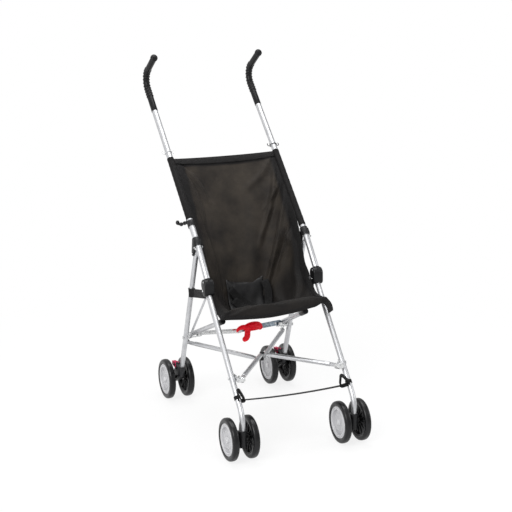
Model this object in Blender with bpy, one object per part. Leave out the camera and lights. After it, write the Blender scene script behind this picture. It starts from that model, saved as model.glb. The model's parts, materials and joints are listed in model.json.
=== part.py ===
import bpy
import bmesh
import math
from mathutils import Vector, Matrix, Quaternion

# Umbrella stroller, metres, +Z up, front is -Y, left side is -X.

# overall frame
SIDE_X = 0.171
FIT_GAP = 0.0003
MAIN_TUBE_R = 0.009
FRONT_TUBE_R = 0.008
REAR_TUBE_R = 0.0075
RAIL_TUBE_R = 0.007
BRACE_TUBE_R = 0.0058
GRIP_INNER_R = 0.0093
GRIP_R = 0.0108
PIN_R = 0.0024
PIN_BORE_R = 0.0027

# side profile points, as y and z
GRIP_END = (0.428, 1.0325)
HANDLE_CORNER = (0.5325, 0.9565)
GRIP_FOOT = (0.4325, 0.866)
HEM_POINT = (0.294, 0.745)
UPPER_PIVOT_TUBE = (0.056, 0.5300)
REAR_PIVOT = (0.0755, 0.5085)
BLOCK_UPPER = (-0.021, 0.4435)
BLOCK_LOWER = (-0.0145, 0.420)
FRONT_LOW = (-0.2700, 0.1474)
FRONT_FOOT_Y = -0.2845
FRONT_FOOT_Z = 0.0918
REAR_FOOT = (0.2196, 0.0825)

# wheels
WHEEL_R = 0.0612
WHEEL_W = 0.020
TYRE_DEPTH = 0.0137
RIM_R = WHEEL_R - TYRE_DEPTH
WHEEL_OFFSET = 0.0305
AXLE_R = 0.0034
AXLE_BORE_R = 0.0038
FRONT_AXLE_Y = -0.2591
REAR_AXLE_Y = 0.2624
SWIVEL_R = 0.004
SWIVEL_BORE_R = 0.0044

# under-seat linkage
HUB = Vector((0.0, -0.013, 0.1975))
FRONT_ARM_PIVOT = Vector((-0.148, -0.218, 0.2185))
REAR_ARM_PIVOT = Vector((-0.156, 0.1915, 0.197))
FRONT_ARM_AXIS = Vector((0.77234, -0.63504, 0.01464))
REAR_ARM_AXIS = Vector((0.15925, -0.98723, -0.00395))
ARM_STACK = 0.0092
TAB_WIDE = 0.72
TAB_THIN = 0.28
HUB_HEAD_R = 0.0070
HUB_NECK_R = 0.0040
RAIL_PIVOT = Vector((-0.147, 0.186, 0.224))
RAIL_TIP = Vector((-0.131, -0.031, 0.327))
STAY_PIVOT = Vector((-0.1585, 0.1720, 0.220))
LOCK_END = Vector((-0.132, 0.164, 0.231))
LOCK_MID = Vector((0.0, 0.164, 0.2215))
LOCK_BAR_T = 0.003
LATCH_PIVOT = Vector((0.062, 0.164, 0.2259))
HUB_PLATE_X = (-0.1572, -0.1546)
BRAKE_PIVOT = (0.2445, 0.1120)
LOOP_R = 0.0096

ROUND_SEGMENTS = 12


def clear_scene():
    for item in list(bpy.data.objects):
        bpy.data.objects.remove(item, do_unlink=True)


def make_material(name, colour, metallic, roughness):
    material = bpy.data.materials.new(name)
    material.use_nodes = True
    shader = material.node_tree.nodes["Principled BSDF"]
    shader.inputs["Base Color"].default_value = (colour[0], colour[1], colour[2], 1.0)
    shader.inputs["Metallic"].default_value = metallic
    shader.inputs["Roughness"].default_value = roughness
    return material


FINISHES = {
    "tube": ((0.52, 0.53, 0.54), 0.85, 0.38),
    "zinc": ((0.66, 0.66, 0.64), 0.9, 0.32),
    "plastic": ((0.02, 0.02, 0.022), 0.0, 0.45),
    "grip": ((0.025, 0.025, 0.027), 0.0, 0.6),
    "tyre": ((0.03, 0.03, 0.03), 0.0, 0.7),
    "rim": ((0.62, 0.62, 0.6), 0.0, 0.4),
    "red": ((0.55, 0.06, 0.05), 0.0, 0.35),
    "fabric": ((0.035, 0.033, 0.032), 0.0, 0.9),
    "webbing": ((0.02, 0.02, 0.02), 0.0, 0.85),
}


def finish(obj, kind, smooth=True):
    colour, metallic, roughness = FINISHES[kind]
    obj.data.materials.clear()
    obj.data.materials.append(make_material(obj.name + "_" + kind, colour, metallic, roughness))
    for face in obj.data.polygons:
        face.use_smooth = smooth
    return obj


def object_from(name, verts, faces):
    mesh = bpy.data.meshes.new(name)
    mesh.from_pydata([tuple(v) for v in verts], [], faces)
    mesh.validate()
    obj = bpy.data.objects.new(name, mesh)
    bpy.context.scene.collection.objects.link(obj)
    work = bmesh.new()
    work.from_mesh(mesh)
    bmesh.ops.recalc_face_normals(work, faces=work.faces)
    volume = work.calc_volume(signed=True)
    if volume < 0:
        bmesh.ops.reverse_faces(work, faces=work.faces)
    work.to_mesh(mesh)
    work.free()
    return obj


def fillet_path(points, radii, steps=6):
    # corner points become arcs; ends stay as they are
    dense = [Vector(points[0])]
    for i in range(1, len(points) - 1):
        corner = Vector(points[i])
        before = (Vector(points[i - 1]) - corner).normalized()
        after = (Vector(points[i + 1]) - corner).normalized()
        angle = before.angle(after)
        reach = radii[i - 1] / math.tan(angle / 2)
        start = corner + before * reach
        end = corner + after * reach
        centre = corner + (before + after).normalized() * (radii[i - 1] / math.sin(angle / 2))
        spoke = start - centre
        axis = spoke.cross(end - centre)
        total = spoke.angle(end - centre)
        for k in range(steps + 1):
            turn = Quaternion(axis, total * k / steps)
            dense.append(centre + turn @ spoke)
    dense.append(Vector(points[-1]))
    return dense


def path_frames(dense):
    lengths = [0.0]
    for i in range(1, len(dense)):
        lengths.append(lengths[-1] + (dense[i] - dense[i - 1]).length)
    tangents = []
    for i in range(len(dense)):
        if i == 0:
            t = dense[1] - dense[0]
        elif i == len(dense) - 1:
            t = dense[-1] - dense[-2]
        else:
            t = (dense[i] - dense[i - 1]).normalized() + (dense[i + 1] - dense[i]).normalized()
        tangents.append(t.normalized())
    first = tangents[0].orthogonal().normalized()
    if abs(tangents[0].x) < 0.9:
        first = Vector((1, 0, 0))
        first = (first - tangents[0] * first.dot(tangents[0])).normalized()
    normals = [first]
    for i in range(1, len(dense)):
        n = normals[-1] - tangents[i] * normals[-1].dot(tangents[i])
        normals.append(n.normalized())
    return lengths, tangents, normals


def at_length(dense, frames, s):
    lengths, tangents, normals = frames
    s = max(0.0, min(s, lengths[-1]))
    i = 0
    while i < len(lengths) - 2 and lengths[i + 1] < s:
        i += 1
    span = lengths[i + 1] - lengths[i]
    u = (s - lengths[i]) / span
    point = dense[i].lerp(dense[i + 1], u)
    tangent = tangents[i].lerp(tangents[i + 1], u).normalized()
    normal = normals[i].lerp(normals[i + 1], u)
    normal = (normal - tangent * normal.dot(tangent)).normalized()
    return point, tangent, normal


def turned(name, dense, stations, segments=ROUND_SEGMENTS, closed=False, squash=None, phase=0.5):
    # a profile of (distance, radius) carried along a path; radius 0 closes an end
    frames = path_frames(dense)
    verts = []
    rows = []
    for index, (s, r) in enumerate(stations):
        point, tangent, normal = at_length(dense, frames, s)
        side = tangent.cross(normal)
        if r <= 0.0:
            rows.append([len(verts)])
            verts.append(point)
            continue
        flat = squash[index] if squash else (1.0, 1.0)
        row = []
        for k in range(segments):
            a = 2 * math.pi * (k + phase) / segments
            row.append(len(verts))
            verts.append(point + normal * (r * math.cos(a) * flat[0]) + side * (r * math.sin(a) * flat[1]))
        rows.append(row)
    if closed:
        rows.append(rows[0])
    faces = []
    for a, b in zip(rows, rows[1:]):
        if len(a) == 1 and len(b) == 1:
            continue
        for k in range(segments):
            j = (k + 1) % segments
            if len(a) == 1:
                faces.append((a[0], b[k], b[j]))
            elif len(b) == 1:
                faces.append((a[k], b[0], a[j]))
            else:
                faces.append((a[k], b[k], b[j], a[j]))
    return object_from(name, verts, faces)


def tube_stations(dense, r, start=0.0, end=None, cap=True):
    lengths = path_frames(dense)[0]
    if end is None:
        end = lengths[-1]
    inner = [s for s in lengths if start + 0.0005 < s < end - 0.0005]
    rings = [(start, r)] + [(s, r) for s in inner] + [(end, r)]
    if cap:
        rings = [(start, 0.0)] + rings + [(end, 0.0)]
    return rings


def tube(name, dense, r, segments=ROUND_SEGMENTS):
    return turned(name, dense, tube_stations(dense, r), segments)


def rod(name, a, b, r, segments=ROUND_SEGMENTS):
    return tube(name, [Vector(a), Vector(b)], r, segments)


def sleeve(name, a, b, inner, outer, segments=ROUND_SEGMENTS):
    dense = [Vector(a), Vector(b)]
    length = (dense[1] - dense[0]).length
    rings = [(0.0, inner), (0.0, outer), (length, outer), (length, inner)]
    return turned(name, dense, rings, segments, closed=True)


def plate(name, outline, x0, x1):
    # outline is (y, z) points, extruded from x0 to x1
    verts = [Vector((x0, y, z)) for y, z in outline] + [Vector((x1, y, z)) for y, z in outline]
    n = len(outline)
    faces = [tuple(range(n)), tuple(range(2 * n - 1, n - 1, -1))]
    for k in range(n):
        j = (k + 1) % n
        faces.append((k, j, n + j, n + k))
    return object_from(name, verts, faces)


def box(name, low, high):
    outline = [(low[1], low[2]), (high[1], low[2]), (high[1], high[2]), (low[1], high[2])]
    return plate(name, outline, low[0], high[0])


def oriented_box(name, centre, size, matrix):
    obj = box(name, [-c / 2 for c in size], [c / 2 for c in size])
    obj.data.transform(Matrix.Translation(Vector(centre)) @ matrix.to_4x4())
    return obj


def rounded_outline(points, radii, steps=4):
    # convex hull style outline round discs placed at points
    result = []
    count = len(points)
    for i in range(count):
        p = Vector(points[i]).to_2d()
        q = Vector(points[(i + 1) % count]).to_2d()
        prev = Vector(points[i - 1]).to_2d()
        a = outer_angle(prev, p, radii[i - 1], radii[i])
        b = outer_angle(p, q, radii[i], radii[(i + 1) % count])
        while b < a:
            b += 2 * math.pi
        for k in range(steps + 1):
            angle = a + (b - a) * k / steps
            result.append((p.x + radii[i] * math.cos(angle), p.y + radii[i] * math.sin(angle)))
    return result


def outer_angle(p, q, rp, rq):
    along = q - p
    base = math.atan2(along.y, along.x)
    lean = math.asin(max(-1.0, min(1.0, (rp - rq) / along.length)))
    return base - math.pi / 2 + lean


def combine(base, others, operation="UNION"):
    for other in others:
        other.hide_render = True
        other.display_type = 'WIRE'
        mod = base.modifiers.new("combine", 'BOOLEAN')
        mod.operation = operation
        mod.solver = 'EXACT'
        mod.object = other
        graph = bpy.context.evaluated_depsgraph_get()
        mesh = bpy.data.meshes.new_from_object(base.evaluated_get(graph))
        base.modifiers.clear()
        old = base.data
        base.data = mesh
        bpy.data.meshes.remove(old)
        bpy.data.objects.remove(other, do_unlink=True)
    mesh = base.data
    work = bmesh.new()
    work.from_mesh(mesh)
    bmesh.ops.remove_doubles(work, verts=work.verts, dist=0.00001)
    bmesh.ops.dissolve_degenerate(work, edges=work.edges, dist=0.00001)
    work.to_mesh(mesh)
    work.free()
    return base


def drill(obj, a, b, r, segments=12):
    return combine(obj, [rod("cutter", a, b, r, segments)], 'DIFFERENCE')


def mirrored(obj, name):
    mesh = obj.data.copy()
    mesh.transform(Matrix.Scale(-1, 4, Vector((1, 0, 0))))
    mesh.flip_normals()
    mesh.name = name
    other = bpy.data.objects.new(name, mesh)
    bpy.context.scene.collection.objects.link(other)
    return other


def side_point(side, yz):
    return Vector((side * SIDE_X, yz[0], yz[1]))


def pair(maker, name, kind, smooth=True):
    # the left piece is built, the right one is its mirror image
    left = maker(name + "_left")
    right = mirrored(left, name + "_right")
    finish(left, kind, smooth)
    finish(right, kind, smooth)
    return left, right


def soften(obj, width, segments=2, angle=40):
    mod = obj.modifiers.new("soft edge", 'BEVEL')
    mod.width = width
    mod.segments = segments
    mod.limit_method = 'ANGLE'
    mod.angle_limit = math.radians(angle)
    graph = bpy.context.evaluated_depsgraph_get()
    mesh = bpy.data.meshes.new_from_object(obj.evaluated_get(graph))
    obj.modifiers.clear()
    obj.data = mesh
    return obj


# main side tubes

def handle_path():
    points = [side_point(-1, GRIP_END), side_point(-1, HANDLE_CORNER), side_point(-1, GRIP_FOOT)]
    points = points + [side_point(-1, HEM_POINT), side_point(-1, UPPER_PIVOT_TUBE)]
    down = (Vector(BLOCK_UPPER) - Vector(UPPER_PIVOT_TUBE)).normalized()
    tail = Vector(BLOCK_UPPER) + down * 0.004
    points.append(side_point(-1, tail))
    return fillet_path(points, [0.038, 0.05, 0.4, 0.04], 5)


def build_handle_tube(name):
    dense = handle_path()
    total = path_frames(dense)[0][-1]
    return turned(name, dense, tube_stations(dense, MAIN_TUBE_R, 0.004, total))


def build_grip(name):
    dense = handle_path()
    frames = path_frames(dense)
    foot = side_point(-1, GRIP_FOOT)
    lengths = frames[0]
    best = min(range(400), key=lambda k: (at_length(dense, frames, 0.001 * k)[0] - foot).length)
    end = 0.001 * best
    inner = [s for s in lengths if 0.0045 < s < end - 0.001]
    ribs = []
    for s in [0.0005] + inner + [end - 0.045]:
        ribs.append((s, GRIP_R))
    rings = [(0.0035, 0.0), (0.0035, GRIP_INNER_R)] + [(s, GRIP_INNER_R) for s in inner]
    rings = rings + [(end, GRIP_INNER_R), (end, GRIP_INNER_R + 0.0006), (end - 0.043, GRIP_INNER_R + 0.0009)]
    rings = rings + list(reversed(ribs)) + [(-0.0, 0.0095), (0.0, 0.0)]
    return turned(name, dense, rings)


def build_front_leg(name):
    top = Vector(BLOCK_LOWER)
    low = Vector(FRONT_LOW)
    up = (top - low).normalized()
    points = [side_point(-1, top + up * 0.004), side_point(-1, low)]
    points.append(Vector((-SIDE_X, FRONT_FOOT_Y, 0.120)))
    points.append(Vector((-SIDE_X, FRONT_FOOT_Y, FRONT_FOOT_Z)))
    dense = fillet_path(points, [0.10, 0.06], 4)
    leg = turned(name, dense, tube_stations(dense, FRONT_TUBE_R))
    stem = rod("stem", (-SIDE_X, FRONT_FOOT_Y, 0.100), (-SIDE_X, FRONT_FOOT_Y, 0.050), SWIVEL_R, 12)
    combine(leg, [stem])
    pivot = FRONT_ARM_PIVOT
    drill(leg, (-0.2, saddle_y(), pivot.z), (-0.14, saddle_y(), pivot.z), PIN_BORE_R)
    return leg


def saddle_y():
    slope = (BLOCK_LOWER[0] - FRONT_LOW[0]) / (BLOCK_LOWER[1] - FRONT_LOW[1])
    return BLOCK_LOWER[0] - slope * (BLOCK_LOWER[1] - FRONT_ARM_PIVOT.z)


def build_block(name):
    upper = Vector(BLOCK_UPPER)
    lower = Vector(BLOCK_LOWER)
    tube_dir = (Vector(UPPER_PIVOT_TUBE) - upper).normalized()
    leg_dir = (lower - Vector(FRONT_LOW)).normalized()
    outer = -SIDE_X - 0.0145
    inner = -SIDE_X + 0.0108
    a = upper + tube_dir * 0.014
    b = upper - tube_dir * 0.008
    c = lower - leg_dir * 0.018
    d = lower + leg_dir * 0.008
    outline = rounded_outline([c, d, a, b], [0.0115, 0.0115, 0.0125, 0.0125], 4)
    block = plate(name, outline, outer, inner)
    soften(block, 0.0012, 2, 50)
    bore_a = side_point(-1, upper - tube_dir * 0.0044)
    bore_b = side_point(-1, upper + tube_dir * 0.05)
    drill(block, bore_a, bore_b, MAIN_TUBE_R + FIT_GAP, ROUND_SEGMENTS)
    bore_c = side_point(-1, lower + leg_dir * 0.0044)
    bore_d = side_point(-1, lower - leg_dir * 0.05)
    drill(block, bore_c, bore_d, FRONT_TUBE_R + FIT_GAP, ROUND_SEGMENTS)
    return block


def build_upper_bracket(name):
    on_tube = Vector(UPPER_PIVOT_TUBE)
    pivot = Vector(REAR_PIVOT)
    along = (Vector(HEM_POINT) - on_tube).normalized()
    low = side_point(-1, on_tube + along * 0.004)
    high = side_point(-1, on_tube + along * 0.031)
    ring = sleeve(name, low, high, MAIN_TUBE_R + FIT_GAP, 0.0118)
    cheeks = []
    corners = [on_tube + along * 0.012, pivot, on_tube + along * 0.022]
    outline = rounded_outline(corners, [0.007, 0.0085, 0.007], 4)
    for x0, x1 in ((-0.0116, -0.0093), (0.0093, 0.0106)):
        cheeks.append(plate("cheek", outline, -SIDE_X + x0, -SIDE_X + x1))
    combine(ring, cheeks)
    core = rod("core", low - (high - low) * 0.5, high + (high - low) * 0.5, MAIN_TUBE_R + FIT_GAP)
    combine(ring, [core], 'DIFFERENCE')
    pin = rod("pin", (-SIDE_X - 0.0134, pivot.x, pivot.y), (-SIDE_X + 0.0104, pivot.x, pivot.y), PIN_R, 12)
    combine(ring, [pin])
    return ring


def rear_leg_dir():
    return (Vector(REAR_FOOT) - Vector(REAR_PIVOT)).normalized()


def build_rear_leg(name):
    down = rear_leg_dir()
    top = side_point(-1, Vector(REAR_PIVOT) - down * 0.007)
    low = side_point(-1, REAR_FOOT)
    leg = rod(name, top, low, REAR_TUBE_R)
    pivot = Vector(REAR_PIVOT)
    drill(leg, (-0.2, pivot.x, pivot.y), (-0.14, pivot.x, pivot.y), PIN_BORE_R)
    stay = STAY_PIVOT
    drill(leg, (-0.2, stay.y, stay.z), (-0.14, stay.y, stay.z), PIN_BORE_R)
    return leg


def build_hub_plate(name):
    # the lower edge stays above the swept path of the brace tube
    py, pz = REAR_ARM_PIVOT.y, REAR_ARM_PIVOT.z
    outline = [(py - 0.0390, pz + 0.0312), (py - 0.0370, pz + 0.0286), (py - 0.0225, pz + 0.0190)]
    outline = outline + [(py - 0.0115, pz + 0.0155), (py - 0.0010, pz + 0.0080), (py - 0.0010, pz - 0.0010)]
    outline = outline + [(py + 0.0080, pz - 0.0010), (py + 0.0080, pz + 0.0130), (py + 0.0025, pz + 0.0290)]
    outline = outline + [(py - 0.0015, pz + 0.0340), (py - 0.0105, pz + 0.0345), (py - 0.0370, pz + 0.0340)]
    base = plate(name, outline, HUB_PLATE_X[0], HUB_PLATE_X[1])
    parts = []
    sy, sz = STAY_PIVOT.y, STAY_PIVOT.z
    outer = -SIDE_X - 0.0100
    parts.append(rod("stud", (outer, sy, sz), (-0.156, sy, sz), PIN_R, 12))
    parts.append(rod("head", (outer, sy, sz), (outer + 0.0020, sy, sz), 0.005, 12))
    ry, rz = RAIL_PIVOT.y, RAIL_PIVOT.z
    parts.append(rod("stud", (-0.156, ry, rz), (-0.1376, ry, rz), PIN_R, 12))
    parts.append(rod("cap", (-0.1394, ry, rz), (-0.1376, ry, rz), 0.0045, 12))
    # fork for the lock bar end, carried under the seat rail
    lock = LOCK_END
    front_y = lock.y - 0.0095
    back_y = lock.y + 0.0095
    shelf = [(front_y, lock.z - 0.0062), (back_y, lock.z - 0.0152)]
    shelf = shelf + [(back_y, lock.z - 0.0128), (front_y, lock.z - 0.0038)]
    parts.append(plate("shelf", shelf, HUB_PLATE_X[0] + 0.0010, lock.x + 0.0058))
    near_x = lock.x - 0.0058
    far_x = lock.x + 0.0058
    top_z = lock.z + 0.0045
    parts.append(box("ear", (near_x, front_y, lock.z - 0.0052), (far_x, front_y + 0.003, top_z)))
    parts.append(box("ear", (near_x, back_y - 0.003, lock.z - 0.0136), (far_x, back_y, top_z)))
    parts.append(rod("pin", (lock.x, 0.1530, lock.z), (lock.x, 0.1750, lock.z), PIN_R, 12))
    # bush for the brace stub
    axis = REAR_ARM_AXIS.normalized()
    near = REAR_ARM_PIVOT - axis * 0.0080
    far = REAR_ARM_PIVOT + axis * 0.0005
    bush = rod("bush", near, far, 0.0068, ROUND_SEGMENTS)
    parts.append(bush)
    combine(base, parts)
    bore = rod("bore", REAR_ARM_PIVOT - axis * 0.0065, REAR_ARM_PIVOT + axis * 0.02, 0.0046, ROUND_SEGMENTS)
    combine(base, [bore], 'DIFFERENCE')
    return base


def build_stay(name):
    pivot = STAY_PIVOT
    top = Vector((pivot.x, -0.020, 0.4435))
    outline = rounded_outline([(pivot.y, pivot.z), (top.y, top.z)], [0.0045, 0.0040], 5)
    bar = plate(name, outline, -0.1595, -0.1575)
    drill(bar, (-0.17, pivot.y, pivot.z), (-0.15, pivot.y, pivot.z), PIN_BORE_R)
    return bar


def build_rail(name):
    along = (RAIL_TIP - RAIL_PIVOT).normalized()
    rail = rod(name, RAIL_PIVOT - along * 0.008, RAIL_TIP, RAIL_TUBE_R)
    drill(rail, (-0.17, RAIL_PIVOT.y, RAIL_PIVOT.z), (-0.12, RAIL_PIVOT.y, RAIL_PIVOT.z), PIN_BORE_R)
    return rail


def brace_arm(name, pivot, axis, lift, tab, end_gap, stub, lead):
    target = HUB + Vector((0, 0, lift))
    along = (target - pivot).normalized()
    length = (target - pivot).length
    if stub:
        dense = fillet_path([pivot - axis * 0.006, pivot + axis * 0.004, target - along * end_gap], [0.006], 4)
    else:
        dense = [pivot + along * lead, target - along * end_gap]
    lengths = path_frames(dense)[0]
    total = lengths[-1]
    radius = 0.0043 if stub else BRACE_TUBE_R
    rings = [(0.0, 0.0), (0.0, radius)]
    shape = [(1, 1), (1, 1)]
    for s in lengths[1:-1]:
        rings.append((s, radius))
        shape.append((1, 1))
    if stub:
        rings.append((lengths[-2] + 0.004, BRACE_TUBE_R))
        shape.append((1, 1))
    rings.append((total - tab, BRACE_TUBE_R))
    shape.append((1, 1))
    rings.append((total - tab + 0.010, BRACE_TUBE_R))
    shape.append((TAB_WIDE, TAB_THIN))
    rings.append((total, BRACE_TUBE_R))
    shape.append((TAB_WIDE, TAB_THIN))
    rings.append((total, 0.0))
    shape.append((1, 1))
    return dense, rings, shape


def build_front_arm(name):
    gap = HUB_HEAD_R + FIT_GAP
    dense, rings, shape = brace_arm(name, FRONT_ARM_PIVOT, FRONT_ARM_AXIS, ARM_STACK, 0.016, gap, False, 0.0)
    arm = turned(name, dense, rings, ROUND_SEGMENTS, squash=shape)
    axis = FRONT_ARM_AXIS.normalized()
    eye = rod("eye", FRONT_ARM_PIVOT - axis * 0.0061, FRONT_ARM_PIVOT + axis * 0.0061, 0.0064, 16)
    combine(arm, [eye])
    drill(arm, FRONT_ARM_PIVOT - axis * 0.02, FRONT_ARM_PIVOT + axis * 0.02, PIN_BORE_R)
    return arm


def build_rear_arm(name):
    axis = REAR_ARM_AXIS.normalized()
    dense, rings, shape = brace_arm(name, REAR_ARM_PIVOT, axis, -ARM_STACK, 0.025, 0.020, True, 0.0)
    return turned(name, dense, rings, ROUND_SEGMENTS, squash=shape)


def build_front_bracket(name):
    axis = FRONT_ARM_AXIS.normalized()
    pivot = FRONT_ARM_PIVOT
    y = saddle_y()
    z = pivot.z
    # fork with two ears across the brace pin, tied to a saddle on the leg
    flat = Vector((axis.x, axis.y, 0)).normalized()
    cross = Vector((-flat.y, flat.x, 0))
    turn = Matrix((flat, cross, Vector((0, 0, 1)))).transposed()
    parts = []
    base = oriented_box(name, pivot - cross * 0.0105, (0.0198, 0.0035, 0.014), turn)
    for sign in (-1, 1):
        centre = pivot + flat * (sign * 0.0084) - cross * 0.0035
        parts.append(oriented_box("ear", centre, (0.0030, 0.0170, 0.014), turn))
    parts.append(rod("pin", pivot - flat * 0.0112, pivot + flat * 0.0112, PIN_R, 12))
    inner = -SIDE_X + FRONT_TUBE_R + 0.0005
    back_x = inner + 0.0030
    parts.append(box("saddle", (inner, y - 0.0085, z - 0.0085), (back_x, y + 0.0085, z + 0.0085)))
    parts.append(box("web", (inner + 0.0010, y - 0.020, z - 0.0060), (back_x, y + 0.004, z + 0.0060)))
    reach = pivot - cross * 0.0105
    bridge_low = (inner + 0.0010, reach.y - 0.0040, z - 0.0060)
    bridge_high = (reach.x + 0.004, reach.y - 0.0010, z + 0.0060)
    parts.append(box("bridge", bridge_low, bridge_high))
    parts.append(rod("stud", (-SIDE_X - 0.0105, y, z), (inner + 0.001, y, z), PIN_R, 12))
    parts.append(rod("head", (-SIDE_X - 0.0105, y, z), (-SIDE_X - 0.0084, y, z), 0.005, 12))
    combine(base, parts)
    return base


def build_hub_pin(name):
    top = HUB + Vector((0, 0, ARM_STACK + 0.0045))
    low = HUB - Vector((0, 0, ARM_STACK + 0.0020))
    total = (top - low).length
    rings = [(0.0, 0.0), (0.0, 0.0060), (0.0050, 0.0060), (0.0050, HUB_NECK_R)]
    rings = rings + [(total - 0.006, HUB_NECK_R), (total - 0.006, HUB_HEAD_R), (total, HUB_HEAD_R), (total, 0.0)]
    return turned(name, [low, top], rings, 12)


# lock bar across the rear legs

def flat_bar(name, outline, front):
    # outline is (x, z) points, extruded backwards by the bar's thickness
    verts = [Vector((x, front, z)) for x, z in outline]
    verts = verts + [Vector((x, front + LOCK_BAR_T, z)) for x, z in outline]
    n = len(outline)
    faces = [tuple(range(n)), tuple(range(2 * n - 1, n - 1, -1))]
    for k in range(n):
        j = (k + 1) % n
        faces.append((k, j, n + j, n + k))
    return object_from(name, verts, faces)


def build_lock_left(name):
    start = Vector((LOCK_END.x, LOCK_END.z))
    end = Vector((LOCK_MID.x, LOCK_MID.z))
    front = 0.1643
    outline = rounded_outline([start, end], [0.0058, 0.0070], 5)
    bar = flat_bar(name, outline, front)
    drill(bar, (LOCK_END.x, 0.15, LOCK_END.z), (LOCK_END.x, 0.18, LOCK_END.z), PIN_BORE_R)
    pin = rod("pin", (0, 0.1575, LOCK_MID.z), (0, front + 0.001, LOCK_MID.z), 0.0026, 12)
    head = rod("head", (0, 0.1575, LOCK_MID.z), (0, 0.1593, LOCK_MID.z), 0.0050, 12)
    combine(bar, [pin, head])
    return bar


def build_lock_right(name):
    start = Vector((LOCK_MID.x, LOCK_MID.z))
    end = Vector((-LOCK_END.x, LOCK_END.z))
    back = 0.1640
    outline = rounded_outline([start, end], [0.0070, 0.0058], 5)
    bar = flat_bar(name, outline, back - LOCK_BAR_T)
    drill(bar, (0, 0.15, LOCK_MID.z), (0, 0.18, LOCK_MID.z), 0.0029)
    drill(bar, (-LOCK_END.x, 0.15, LOCK_END.z), (-LOCK_END.x, 0.18, LOCK_END.z), PIN_BORE_R)
    px, pz = LATCH_PIVOT.x, LATCH_PIVOT.z
    stud = rod("stud", (px, 0.146, pz), (px, 0.1625, pz), 0.0026, 12)
    combine(bar, [stud])
    return bar


def build_latch(name):
    y0 = 0.1450
    y1 = 0.1605
    middle = (y0 + y1) / 2
    wide = y1 - y0
    body_turn = Matrix.Rotation(math.radians(-4.1), 3, 'Y')
    body = oriented_box(name, (0.036, middle, 0.2275), (0.050, wide, 0.020), body_turn)
    end = rod("end", (LATCH_PIVOT.x, y0, LATCH_PIVOT.z), (LATCH_PIVOT.x, y1, LATCH_PIVOT.z), 0.0085, 14)
    toe_turn = Matrix.Rotation(math.radians(14), 3, 'Y')
    toe = oriented_box("toe", (0.0160, middle, 0.2105), (0.014, wide, 0.022), toe_turn)
    combine(body, [end, toe])
    drill(body, (LATCH_PIVOT.x, 0.13, LATCH_PIVOT.z), (LATCH_PIVOT.x, 0.18, LATCH_PIVOT.z), 0.0029)
    # room for the head of the middle pin
    drill(body, (0, 0.1560, LOCK_MID.z), (0, 0.17, LOCK_MID.z), 0.0085)
    return body


# wheels

def wheel_path(side_x, offset, y, width):
    x = side_x + offset
    return [Vector((x - width / 2, y, WHEEL_R)), Vector((x + width / 2, y, WHEEL_R))]


def build_tyre(name, side_x, offset, y):
    dense = wheel_path(side_x, offset, y, WHEEL_W)
    w = WHEEL_W
    inner = RIM_R + FIT_GAP
    rings = [(0.0010, inner), (0.0, RIM_R + 0.005), (0.0032, WHEEL_R - 0.0030)]
    rings = rings + [(w / 2, WHEEL_R), (w - 0.0032, WHEEL_R - 0.0030)]
    rings = rings + [(w, RIM_R + 0.005), (w - 0.0010, inner)]
    return turned(name, dense, rings, 24, closed=True, phase=0.0)


def build_rim(name, side_x, offset, y):
    dense = wheel_path(side_x, offset, y, WHEEL_W)
    w = WHEEL_W
    rings = [(0.0, AXLE_BORE_R), (0.0, 0.0100), (0.0050, 0.0105), (0.0050, 0.0380), (0.0012, RIM_R - 0.002)]
    rings = rings + [(0.0012, RIM_R), (w - 0.0012, RIM_R), (w - 0.0012, RIM_R - 0.002), (w - 0.0050, 0.0380)]
    rings = rings + [(w - 0.0050, 0.0105), (w, 0.0100), (w, AXLE_BORE_R)]
    return turned(name, dense, rings, 24, closed=True, phase=0.0)


def axle(side_x, y, end):
    a = Vector((side_x - end, y, WHEEL_R))
    b = Vector((side_x + end, y, WHEEL_R))
    return rod("axle", a, b, AXLE_R, 12)


def build_caster(name):
    x = -SIDE_X
    top = FRONT_FOOT_Z - FIT_GAP
    body = rod(name, (x, FRONT_FOOT_Y, 0.046), (x, FRONT_FOOT_Y, top), 0.0120, 16)
    outline = [(-0.2900, 0.0430), (-0.2470, 0.0470), (-0.2470, 0.0720), (-0.2620, 0.0860), (-0.2860, 0.0890)]
    arm = plate("arm", outline, x - 0.0095, x + 0.0095)
    bar = axle(x, FRONT_AXLE_Y, WHEEL_OFFSET + WHEEL_W / 2 + 0.0035)
    spacer = rod("spacer", (x - 0.0200, FRONT_AXLE_Y, WHEEL_R), (x + 0.0200, FRONT_AXLE_Y, WHEEL_R), 0.0065, 14)
    combine(body, [arm, bar, spacer])
    drill(body, (x, FRONT_FOOT_Y, 0.0485), (x, FRONT_FOOT_Y, 0.12), SWIVEL_BORE_R)
    return body


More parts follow.
